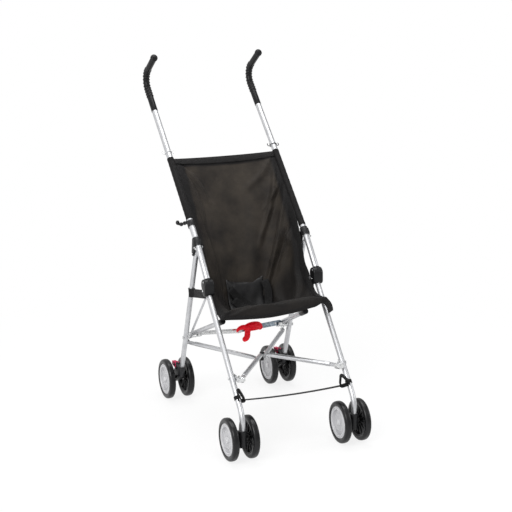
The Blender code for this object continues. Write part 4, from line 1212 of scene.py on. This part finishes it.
def makeBraces():
    hubY, hubZ = brace["hub"]
    for label, side in sides:
        for end, way in (("front", 1), ("rear", -1)):
            pivot = brace[end + "Pivot"]
            core = refine(end + "_brace_" + label, silverTube, 0.0004, 60, keep=False)
            a = at(side * pivot[0], pivot[1], pivot[2])
            b = at(0.0, hubY, hubZ + way * brace["lift"])
            run = (b - a).normalized()
            r, start = brace["r"], brace["start"]
            stop = (b - a).length - brace["stop"]
            rings = [(start, 0.0), (start, r * 0.9), (start + 0.002, r), (stop - 0.030, r)]
            # the end is pressed flat where it meets the hub
            rings += [(stop - 0.020, r, 1.08, 0.86), (stop - 0.012, r, 1.2, 0.56),
                      (stop - 0.004, r, 1.22, 0.46), (stop, r * 0.9, 1.1, 0.42), (stop, 0.0)]
            flatWay = run.cross(Vector((0, 0, 1))).normalized()
            tube = sweep("braceTube", [a, b], rings, silverTube, 28, hint=flatWay)
            ownJoin(end + "_brace_" + label, [core, tube])


def makeFittings():
    for label, side in sides:
        makeUpperBracket(label, side)
        makeConnectorBlock(label, side)
        refine("front_bracket_" + label, brightZinc, 0.0006)
        refine("rear_bracket_" + label, brightZinc, 0.0004)
        refine("side_stay_" + label, silverTube, 0.0004)
        makeHousing("caster_housing_" + label, side, wheel["frontY"])
        makeHousing("rear_housing_" + label, side, wheel["rearY"])
    refine("brace_pin", blackMoulded, 0.0004)
    makeBraces()
    makeRails()
    makeBrakes()
    makeHook()
    makeLockLinks()
    makeLatch()


makeFittings()
print("fittings made")


# seat sling

seatEdge = metres([(293, 744.1), (265, 718.9), (225, 682.9), (185, 646.9), (145, 610.6), (106, 575),
                   (74, 529)])
seat = {
    # the cloth from the top hem to the front hem: middle and both edges as (y, z)
    "middle": metres([(290, 742), (266, 705), (233, 645), (199, 570), (170, 495), (145, 425),
                      (126, 365), (108, 321), (82, 301), (42, 301), (2, 320), (-45, 348), (-80, 376)]),
    "right": seatEdge + metres([(56, 489), (40, 456), (15, 433), (-10, 408), (-38, 386), (-74, 383)]),
    "left": seatEdge + metres([(52, 485), (30, 448), (4, 420), (-20, 394), (-46, 370), (-72, 360)]),
    "half": [0.1622] * 5 + [0.1600] * 4 + [0.1610] * 4,
    # the turned-down front lip: (x, z) of its crest and of its hem, and how far down each row lies
    "crest": metres([(-163, 357), (-150, 376), (-95, 385), (-18, 387.5), (60, 389.5), (120, 390.5),
                     (150, 389.5), (163, 387.5)]),
    "hem": metres([(-163, 354.5), (-140, 355), (-100, 353.5), (-20, 352), (48.5, 356.5), (120, 366),
                   (150, 377), (163, 386)]),
    "lipHalf": 0.163,
    "lip": [(1.0, -0.1000, -0.0960, -0.1040), (0.90, -0.1120, -0.0985, -0.1100),
            (0.48, -0.1185, -0.1000, -0.1130), (0.0, -0.1190, -0.1005, -0.1140)],
    # the edges draw up from the middle by this power of the way across
    "edgePower": 2.4,
    "across": 112, "along": 230, "thick": 0.0011,
    # start across and along, end across and along, then width and depth in metres
    "folds": [(0.93, 0.075, 0.44, 0.37, 0.0085, 0.0075), (1.02, 0.215, 0.36, 0.60, 0.0085, 0.0100),
              (0.97, 0.145, 0.60, 0.255, 0.0065, 0.0050), (1.00, 0.290, 0.62, 0.500, 0.0080, 0.0065),
              (0.98, 0.360, 0.70, 0.540, 0.0070, 0.0050), (0.92, 0.030, 0.30, 0.150, 0.0110, 0.0040),
              (-0.95, 0.030, -0.50, 0.190, 0.0075, 0.0050), (-0.96, 0.045, -0.66, 0.330, 0.0090, 0.0055),
              (-0.86, 0.250, -0.52, 0.660, 0.0080, 0.0060), (0.80, 0.440, 0.86, 0.660, 0.0075, 0.0060),
              (0.42, 0.130, 0.10, 0.560, 0.0260, 0.0045), (-0.30, 0.120, -0.10, 0.520, 0.0320, -0.0030),
              (0.55, 0.600, 0.35, 0.860, 0.0090, 0.0050), (-0.62, 0.660, -0.46, 0.900, 0.0090, 0.0050),
              (0.95, 0.560, 0.62, 0.800, 0.0080, 0.0050), (-0.95, 0.560, -0.72, 0.820, 0.0080, 0.0050),
              (-0.90, 0.955, -0.30, 0.925, 0.0050, 0.0035), (-0.80, 0.975, 0.10, 0.955, 0.0050, 0.0025),
              (0.10, 0.935, 0.80, 0.945, 0.0060, 0.0030)],
    "foldDepth": 1.45, "foldHalf": 0.16, "crumple": 0.0014,
    # the folds fade out over these shares at the sides, the top and the lip
    "fadeSide": 0.14, "fadeTop": 0.05, "fadeLip": 0.03,
    # the light that shines through between the doubled edges, down to about the crook of the seat, is painted
    # into the cloth's colour
    "doubled": {"left": 0.15, "right": 0.09, "top": 0.037}, "crook": 0.62,
}


def between(points, x):
    # a smooth height at x from a short list of (x, z)
    x = max(points[0][0], min(points[-1][0], x))
    k = 0
    while k < len(points) - 2 and points[k + 1][0] < x:
        k += 1
    (x0, z0), (x1, z1) = points[k], points[k + 1]
    t = (x - x0) / (x1 - x0)
    zp = points[max(k - 1, 0)][1]
    zn = points[min(k + 2, len(points) - 1)][1]
    m0 = (z1 - zp) / 2 if k else z1 - z0
    m1 = (zn - z0) / 2 if k < len(points) - 2 else z1 - z0
    h = t * t * (3 - 2 * t)
    return z0 * (1 - h) + z1 * h + (t ** 3 - 2 * t * t + t) * m0 * 0.6 + (t ** 3 - t * t) * m1 * 0.6


def stationPoint(j, u):
    count = len(seat["middle"])
    f = abs(u) ** seat["edgePower"]
    if j < count:
        my, mz = seat["middle"][j]
        ey, ez = seat["left" if u < 0 else "right"][j]
        return at(seat["half"][j] * u, my * (1 - f) + ey * f, mz * (1 - f) + ez * f)
    share, my, ly, ry = seat["lip"][j - count]
    x = seat["lipHalf"] * u
    low, high = between(seat["hem"], x), between(seat["crest"], x)
    ey = ly if u < 0 else ry
    return at(x, my * (1 - f) + ey * f, low + (high - low) * share)


def seatRows():
    # how far along the stations each row of the cloth lies, at even steps of cloth
    last = len(seat["middle"]) + len(seat["lip"]) - 1
    fine = [last * k / 600 for k in range(601)]
    lengths = [0.0]
    for a, b in zip(fine, fine[1:]):
        lengths.append(lengths[-1] + (spot(0.0, b) - spot(0.0, a)).length)
    rows = []
    k = 0
    for i in range(seat["along"] + 1):
        want = lengths[-1] * i / seat["along"]
        while k < len(lengths) - 2 and lengths[k + 1] < want:
            k += 1
        share = (want - lengths[k]) / max(lengths[k + 1] - lengths[k], 1e-9)
        rows.append(fine[k] + (fine[k + 1] - fine[k]) * share)
    return rows


def spot(u, t):
    # the cloth before its folds, t in stations
    last = len(seat["middle"]) + len(seat["lip"]) - 1
    k = min(int(t), last - 1)
    w = t - k
    p0, p1 = stationPoint(max(k - 1, 0), u), stationPoint(k, u)
    p2, p3 = stationPoint(k + 1, u), stationPoint(min(k + 2, last), u)
    return curvePoint(p0, p1, p2, p3, w)


def foldDepth(u, v, wide, length):
    depth = 0.0
    for u0, v0, u1, v1, width, high in seat["folds"]:
        a = Vector((u0 * wide, v0 * length))
        b = Vector((u1 * wide, v1 * length))
        p = Vector((u * wide, v * length))
        line = b - a
        t = (p - a).dot(line) / line.length_squared
        bend = math.sin(min(max(t, 0.0), 1.0) * math.pi) * 0.012
        off = (p - a - line * t).dot(Vector((line.y, -line.x)).normalized()) - bend
        if -0.15 < t < 1.15:
            fade = math.sin(min(max((t + 0.15) / 1.3, 0.0), 1.0) * math.pi) ** 0.7
            rise = 0.55 * math.exp(-((off - width * 1.7) / (width * 1.5)) ** 2)
            crease = math.exp(-(off / width) ** 2) - rise
            depth -= seat["foldDepth"] * high * fade * crease
    return depth


def makeSeat():
    rows = seatRows()
    nu, nv = seat["across"], seat["along"]
    grid, tags, lengths = [], [], [0.0]
    for i in range(nv + 1):
        if i:
            lengths.append(lengths[-1] + (spot(0, rows[i]) - spot(0, rows[i - 1])).length)
    total = lengths[-1]
    for i in range(nv + 1):
        arc = 0.0
        before = None
        for k in range(nu + 1):
            u = -1 + 2 * k / nu
            p = spot(u, rows[i])
            if before is not None:
                arc += (p - before).length
            before = p
            grid.append(p)
            tags.append((k, arc, lengths[i], 0))
    m = nu + 1
    pushed = []
    for i in range(nv + 1):
        for k in range(m):
            a = grid[i * m + min(k + 1, nu)] - grid[i * m + max(k - 1, 0)]
            b = grid[min(i + 1, nv) * m + k] - grid[max(i - 1, 0) * m + k]
            normal = a.cross(b).normalized()
            u = -1 + 2 * k / nu
            v = lengths[i] / total
            hold = min(1.0, (1 - abs(u)) / seat["fadeSide"]) * min(1.0, v / seat["fadeTop"])
            hold *= min(1.0, (1 - v) / seat["fadeLip"])
            depth = foldDepth(u, v, seat["foldHalf"], total) * max(hold, 0.0)
            q = grid[i * m + k]
            slow = noise.noise(Vector((q.x * 16, q.y * 9 + q.z * 9, 3.1)))
            slow = slow + 0.5 * noise.noise(Vector((q.x * 44, q.z * 26, 7.7)))
            depth += seat["crumple"] * slow * min(1.0, max(hold, 0.0) * 1.5)
            pushed.append(q + normal * depth)
    mesh = bpy.data.meshes.new("seatSling")
    mesh.from_pydata([tuple(p) for p in pushed], [], gridFaces(nu, nv))
    layer = mesh.uv_layers.new(name="surface")
    for loop in mesh.loops:
        tag = tags[loop.vertex_index]
        layer.data[loop.index].uv = (tag[1], tag[2])
    # painted light: where light shines through the single cloth, fading below the crook of the seat
    thinLitThrough = mesh.attributes.new("thinLitThrough", 'FLOAT', 'POINT')
    doubled = seat["doubled"]
    for i in range(nv + 1):
        for k in range(m):
            u = -1 + 2 * k / nu
            v = lengths[i] / total
            edge = doubled["left" if u < 0 else "right"]
            side = min(1.0, max(0.0, ((1 - abs(u)) - edge) / 0.05))
            top = min(1.0, max(0.0, (v - doubled["top"]) / 0.006))
            low = min(1.0, max(0.0, (seat["crook"] - v) / 0.05)) * 0.75 + 0.25
            thinLitThrough.data[i * m + k].value = side * top * low
    mesh.materials.append(wovenNylon)
    cloth = addObject("seatSling", mesh)
    area = sum(p.area for p in mesh.polygons)
    thick = cloth.modifiers.new("cloth thickness", 'SOLIDIFY')
    thick.thickness = seat["thick"]
    thick.offset = 0.0
    settle(cloth, 80)
    stand(cloth, "seat_sling")
    return cloth, rows, lengths, area


sling, slingRows, slingLengths, slingArea = makeSeat()
print("seat sling made, area", round(slingArea, 4))


def rowNear(v):
    # the row of the sling nearest to v of its length, never an end row
    total = slingLengths[-1]
    i = min(range(len(slingLengths)), key=lambda n: abs(slingLengths[n] - v * total))
    return min(max(i, 1), len(slingLengths) - 2)


def clothSpans(u, i):
    across = spot(min(u + 0.03, 1), slingRows[i]) - spot(max(u - 0.03, -1), slingRows[i])
    return across, spot(u, slingRows[i + 1]) - spot(u, slingRows[i - 1])


def seatSpot(u, i, lift=0.0):
    across, down = clothSpans(u, i)
    return spot(u, slingRows[i]) + across.cross(down).normalized() * lift


def seatCurve(u, v0, v1, steps, lift=0.0):
    # points on the sling from v0 to v1 of its length at one place across
    return [seatSpot(u, rowNear(v0 + (v1 - v0) * k / steps), lift) for k in range(steps + 1)]


def acrossCurve(v, u0, u1, steps, lift=0.0):
    i = rowNear(v)
    return [seatSpot(u0 + (u1 - u0) * k / steps, i, lift) for k in range(steps + 1)]


hems = {"topBand": 0.0215, "topThick": 0.0030, "topSag": 0.0045, "topWave": 0.0006, "seamAt": 0.86,
        "frontBand": 0.012, "frontThick": 0.0026, "sideThick": 0.0024, "side": (0.30, 0.99),
        "sideShare": 0.925, "stitchLength": 0.0030, "stitchSide": 0.935}


def bandBetween(name, first, second, thick, finish, puff=0.0):
    # a soft flat band whose two long edges are given
    count = len(first)
    section = [(0.0, 0.0), (0.02, 0.35), (0.08, 0.50), (0.3, 0.5 + puff), (0.5, 0.5 + puff * 1.3),
               (0.7, 0.5 + puff), (0.92, 0.50), (0.98, 0.35), (1.0, 0.0), (0.98, -0.35), (0.92, -0.50),
               (0.5, -0.5), (0.08, -0.50), (0.02, -0.35)]
    verts, rows, tags = [], [], []
    s = 0.0
    for i in range(count):
        if i:
            s += (first[i] - first[i - 1]).length
        t = first[min(i + 1, count - 1)] - first[max(i - 1, 0)]
        w = second[i] - first[i]
        n = t.cross(w).normalized()
        row = []
        for k, (a, b) in enumerate(section):
            row.append(len(verts))
            verts.append(first[i] + w * a + n * (b * thick))
            tags.append((k, s, a * w.length, 0))
        rows.append(row)
    return meshObject(name, verts, bandFaces(rows), finish, True, tags, 0)


def stitchPart():
    length = hems["stitchLength"]
    dense = [Vector((0, 0, -length / 2)), Vector((0, 0, length / 2))]
    rings = [(0, 0), (0.0002, 0.00022), (length / 2, 0.00034), (length - 0.0002, 0.00022), (length, 0)]
    return sweep("stitch", dense, rings, sewingThread, 6)


def makeHems():
    rng = random.Random(5)
    total = slingLengths[-1]
    pieces = []
    # top hem, turned over and sewn down, sagging a little between the tubes
    steps = 60
    upper, lower = [], []
    for k in range(steps + 1):
        u = -1 + 2 * k / steps
        sag = hems["topSag"] * (1 - u * u)
        a = seatSpot(u, rowNear(0.0))
        b = seatSpot(u, rowNear(hems["topBand"] / total))
        wave = hems["topWave"] * math.sin(k * 0.9) + rng.uniform(-0.0002, 0.0002)
        upper.append(a + Vector((0, -0.0004, 0.0022 - sag * 0.5 + wave)))
        lower.append(b + Vector((0, -0.0022, 0.0012 + wave)))
    pieces.append(bandBetween("topHem", upper, lower, hems["topThick"], hemBinding, 0.12))
    # front hem under the lip
    v = 1 - hems["frontBand"] / total
    first, second = acrossCurve(v, -1, 1, 60), acrossCurve(1.0, -1, 1, 60)
    pieces.append(bandBetween("frontHem", first, second, hems["frontThick"], hemBinding, 0.1))
    # bound side edges from the end of the sleeve to the lip
    start, end = hems["side"]
    for u in (-1, 1):
        outer = seatCurve(u, start, end, 60)
        inner = seatCurve(u * hems["sideShare"], start, end, 60)
        if u > 0:
            outer, inner = inner, outer
        pieces.append(bandBetween("sideHem", outer, inner, hems["sideThick"], hemBinding, 0.1))
    stitch = stitchPart()
    seam = hems["topBand"] * hems["seamAt"] / total
    places = ((seam, -0.0019), (v + 0.003, 0.0014), (v + 0.003, -0.0014), (seam, 0.0019))
    lines = [acrossCurve(place, -0.97, 0.97, 40, lift) for place, lift in places]
    rows = []
    for n, line in enumerate(lines):
        rows.append(rowAlong("stitches", [line], stitch, 66, sewingThread, 0.12, seed=11 + n))
    for u in (-hems["stitchSide"], hems["stitchSide"]):
        for lift in (-0.0013, 0.0013):
            line = seatCurve(u, 0.31, 0.985, 50, lift)
            rows.append(rowAlong("stitches", [line], stitch, 100, sewingThread, 0.12, seed=21))
    discard(stitch)
    hem = joinMeshes("seatHems", pieces)
    seams = joinMeshes("seatStitches", rows)
    for piece in (hem, seams):
        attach(piece, "left_frame")
    return hem, seams


seatHems, seatStitches = makeHems()
print("hems and stitches made")


# sleeves of cloth round the main tubes

sleeves = {"r": 0.0101, "pucker": 0.00025, "foot": {"left": (0.1290, 0.5960), "right": (0.0860, 0.5571)}}


def makeSleeves():
    made = []
    for label, side in sides:
        dense = handlePath(side)
        frames = pathFrames(dense)
        start = nearestLength(dense, frames, sidePoint(side, tubes["hem"])) - 0.001
        end = nearestLength(dense, frames, sidePoint(side, sleeves["foot"][label]))
        inner = tubes["mainR"] + 0.0002
        rng = random.Random(7 + side)
        steps = 46
        outer = []
        for k in range(steps + 1):
            s = start + (end - start) * k / steps
            pucker = sleeves["pucker"] * math.sin(k * 1.7) + rng.uniform(-0.00012, 0.00012)
            outer.append((s, sleeves["r"] + pucker))
        rings = [(start, inner), (start - 0.0004, inner + 0.0005)] + outer
        rings += [(end + 0.0004, inner + 0.0005), (end, inner)]
        rings += [(s, inner) for s in reversed([start + (end - start) * k / steps for k in range(1, steps)])]
        made.append(sweep("clothSleeve_" + label, dense, rings, wovenNylon, 28, closed=True))
    for piece, (label, side) in zip(made, sides):
        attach(piece, label + "_frame")
    return made


clothSleeves = makeSleeves()


# straps

# inset is how far inside each side frame the strap ends; lies is the way of its width
footStrap = {"width": 0.022, "thick": 0.0009, "inset": 0.0190, "y": -0.2470, "z": 0.1672, "sag": 0.0050,
             "lies": (0, 0.975, -0.222)}


def makeFootrest():
    reach = sideX - footStrap["inset"]
    dense = []
    for k in range(41):
        u = -1 + 2 * k / 40
        dense.append(at(reach * u, footStrap["y"], footStrap["z"] - footStrap["sag"] * (1 - u * u)))
    strap = flatStrap("footrestStrap", dense, footStrap["width"], footStrap["thick"],
                      Vector(footStrap["lies"]), blackWebbing)
    stand(strap, "footrest_strap")
    return strap


def closedBand(name, corners, width, thick, wide, finish):
    # a loop of webbing through rounded corners
    ring = []
    count = len(corners)
    for i in range(count):
        p, before, after = corners[i], corners[i - 1], corners[(i + 1) % count]
        a = p.lerp(before, 0.30)
        b = p.lerp(after, 0.30)
        for t in [k / 6 for k in range(7)]:
            ring.append(a * (1 - t) ** 2 + p * 2 * t * (1 - t) + b * t * t)
    ring.append(ring[0])
    return flatStrap(name, ring, width, thick, wide, finish)


loop = {
    "middle": (-0.2449, 0.1741), "half": 0.0055, "wrapR": 0.0097, "width": 0.012, "thick": 0.0040,
    "lies": (0.30, 0.90, 0.30),
    "left": metres([(-169, -242, 202), (-150, -250, 166), (-172, -256, 169)]),
    "right": metres([(143, -250, 204), (140, -252, 166), (173, -254, 173)]),
}


def makeLoops():
    for label, side in sides:
        run = unit(tubes["blockLower"], tubes["frontLow"])
        middle = Vector(loop["middle"])
        a, b = [sidePoint(side, middle + run * (way * loop["half"])) for way in (-1, 1)]
        wrap = rod("loopWrap", a, b, loop["wrapR"], blackWebbing, 28, 0.0008)
        corners = [at(*corner) for corner in loop[label]]
        lies = Vector(loop["lies"])
        band = closedBand("loopBand", corners, loop["width"], loop["thick"], lies, blackWebbing)
        piece = joinMeshes("footrestLoop_" + label, [wrap, band])
        stand(piece, "footrest_loop_" + label)


# front, turn and back are y along the strap; top, low and foot are z; rise is its slope over that run
limit = {"front": 0.0030, "turn": 0.1050, "back": 0.1159, "r": 0.0090, "gap": 0.0012, "top": 0.4035,
         "foot": 0.3780, "low": 0.3785, "rise": 0.0250, "outerY": 0.1110, "high": 0.025, "thick": 0.0012,
         "lies": (0, 0.20, 0.98)}


def makeLimitStraps():
    # a loop of webbing from the front leg round the rear leg and back
    for label, side in sides:
        x, front, back, turn, r = side * sideX, limit["front"], limit["back"], limit["turn"], limit["r"]
        gap, rise = side * limit["gap"], limit["rise"]
        path = []
        for k in range(13):
            path.append(at(x + gap, front + (turn - front) * k / 12, limit["top"] - rise * k / 12))
        for k in range(1, 12):
            a = -math.pi / 2 + math.pi * k / 12
            path.append(at(x - side * r * math.sin(a), back + r * math.cos(a), limit["foot"]))
        for k in range(13):
            path.append(at(x - gap, turn + (front - turn) * k / 12, limit["low"] + rise * k / 12))
        path[0].x = path[-1].x = x
        outer = [at(x + way * side * r, limit["outerY"], limit["foot"]) for way in (1, -1)]
        path = path[:12] + outer[:1] + path[13:24] + outer[1:] + path[25:]
        strap = flatStrap("limitStrap", smoothPath(path, 3), limit["high"], limit["thick"],
                          Vector(limit["lies"]), blackWebbing)
        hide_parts("limit_strap_" + label)
        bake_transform(strap)


harness = {
    # half width, then from and to along the cloth
    "pad": (0.375, 0.522, 0.690), "thick": 0.011, "webLift": 0.0125, "bow": 0.006,
    # each waist web from across to across and from along to along
    "webs": ((-0.36, 0.20, 0.56, 0.70), (0.40, 0.30, 0.545, 0.715), (-0.30, -0.02, 0.60, 0.74)),
    "webWidth": 0.024, "webThick": 0.0010, "crotchFrom": 0.655, "crotchRun": 0.265, "crotchWidth": 0.034,
    "crotchThick": 0.0011,
}


def makePad():
    # a slack pad in the crook of the seat
    reach, v0, v1 = harness["pad"]
    nu, nv = 30, 18
    top, low = [], []
    for i in range(nv + 1):
        v = v0 + (v1 - v0) * i / nv
        b = -1 + 2 * i / nv
        for k in range(nu + 1):
            a = -1 + 2 * k / nu
            point = seatSpot(a * reach, rowNear(v))
            normal = seatNormal(a * reach, v)
            full = max(0.0, (1 - abs(a) ** 3.5) * (1 - abs(b) ** 3.5)) ** 0.6
            quilt = 0.0012 * math.sin(a * 9) * math.cos(b * 5) * full
            top.append(point - normal * (0.0022 + harness["thick"] * full * 0.7 + quilt))
            low.append(point - normal * (0.0018 - 0.0006 * full))
    m = nu + 1
    n = len(top)
    faces = []
    for a in [i * m + k for i in range(nv) for k in range(nu)]:
        faces.append((a, a + 1, a + m + 1, a + m))
        faces.append((n + a, n + a + m, n + a + m + 1, n + a + 1))
    edge = list(range(m)) + [i * m + nu for i in range(1, nv + 1)]
    edge += [nv * m + k for k in range(nu - 1, -1, -1)] + [i * m for i in range(nv - 1, 0, -1)]
    for a, b in zip(edge, edge[1:] + edge[:1]):
        faces.append((a, n + a, n + b, b))
    pad = meshObject("harnessPad", top + low, faces, padCloth)
    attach(pad, "left_frame")
    return pad


def makeWebs():
    # the crotch strap, and the waist webs that lie over the pad
    webs = []
    for a, b, v, w in harness["webs"]:
        line = []
        for k in range(21):
            t = k / 20
            u = a + (b - a) * t + 0.10 * math.sin(math.pi * t)
            point = seatSpot(u, rowNear(v + (w - v) * t))
            lift = harness["webLift"] + harness["bow"] * math.sin(math.pi * t)
            line.append(point - seatNormal(u, v + (w - v) * t) * lift)
        runs = [(line[min(i + 1, 20)] - line[max(i - 1, 0)]).normalized() for i in range(21)]
        wide = [seatNormal(0.1, 0.6).cross(run) for run in runs]
        webs.append(flatStrap("waistWeb", line, harness["webWidth"], harness["webThick"], wide, blackWebbing))
    path = []
    for k in range(41):
        v = harness["crotchFrom"] + harness["crotchRun"] * k / 40
        path.append(seatSpot(0.0, rowNear(v)) - seatNormal(0.0, v) * (0.0075 if k < 6 else 0.0032))
    crotch = flatStrap("crotchStrap", path, harness["crotchWidth"], harness["crotchThick"], Vector((1, 0, 0)),
                       blackWebbing)
    crotch = joinMeshes("crotchStrap", [crotch] + webs)
    stand(crotch, "crotch_strap")
    return crotch


def seatNormal(u, v):
    # towards the cloth's underside
    across, down = clothSpans(u, rowNear(v))
    return down.cross(across).normalized() * seatFace


tabPiece = {
    "path": metres([(150, -114, 385), (160, -112, 376), (170, -108, 364), (177, -103, 351), (181, -98, 339)]),
    "width": 0.0200, "thick": 0.0014, "lies": (0.62, 0.10, 0.50),
}


def makeCornerTab():
    # webbing that ties the seat's right front corner to the front leg
    line = smoothPath([at(*point) for point in tabPiece["path"]], 6)
    tab = flatStrap("cornerTab_right", line, tabPiece["width"], tabPiece["thick"], Vector(tabPiece["lies"]),
                    blackWebbing)
    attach(tab, "right_frame")


clip = {"wireR": 0.0011, "loopR": 0.0104, "curlR": 0.0012, "curlOut": 0.0142, "curlWide": 0.0042,
        "curlLow": -0.0020, "curlHigh": 0.0050, "at": (0.3120, 0.7590)}


def makeClips():
    # thin spring clips on the tubes just above the hem
    for label, side in sides:
        dense = handlePath(side)
        frames = pathFrames(dense)
        s = nearestLength(dense, frames, sidePoint(side, clip["at"]))
        point, tangent, normal = along(dense, frames, s)
        across = tangent.cross(normal)
        wire = []
        for k in range(31):
            a = math.radians(-150 + 300 * k / 30)
            bend = normal * (clip["loopR"] * math.cos(a)) + across * (clip["loopR"] * math.sin(a))
            wire.append(point + bend + tangent * (0.0004 * k / 30))
        finish = brightZinc if side < 0 else blackMoulded
        ring = sweep("clipRing", wire, wireRings(pathFrames(wire)[0], clip["wireR"]), finish, 12)
        curls = []
        for way in (-1, 1):
            curl = []
            for k in range(19):
                a = math.radians(-60 + 290 * k / 18)
                out = normal * (way * (clip["curlOut"] + clip["curlWide"] * math.cos(a)))
                curl.append(point + out + tangent * (clip["curlLow"] + clip["curlHigh"] * math.sin(a)))
            rings = wireRings(pathFrames(curl)[0], clip["curlR"])
            curls.append(sweep("clipCurl", curl, rings, finish, 10, hint=(0, 0, 1)))
        made = joinMeshes("hemClip_" + label, [ring] + curls)
        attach(made, label + "_frame")


# 1 or -1, so that seatNormal points to the underside: tried with 1 at the back rest first
seatFace = 1.0
seatFace = 1.0 if seatNormal(0.0, 0.3).y > 0 else -1.0
footrest = makeFootrest()
makeLoops()
makeLimitStraps()
harnessPad = makePad()
crotch = makeWebs()
makeCornerTab()
makeClips()
print("straps, tab and clips made")

# cloth and straps get meshes of their own
for piece in (sling, seatHems, seatStitches, footrest, crotch, harnessPad):
    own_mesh(piece)
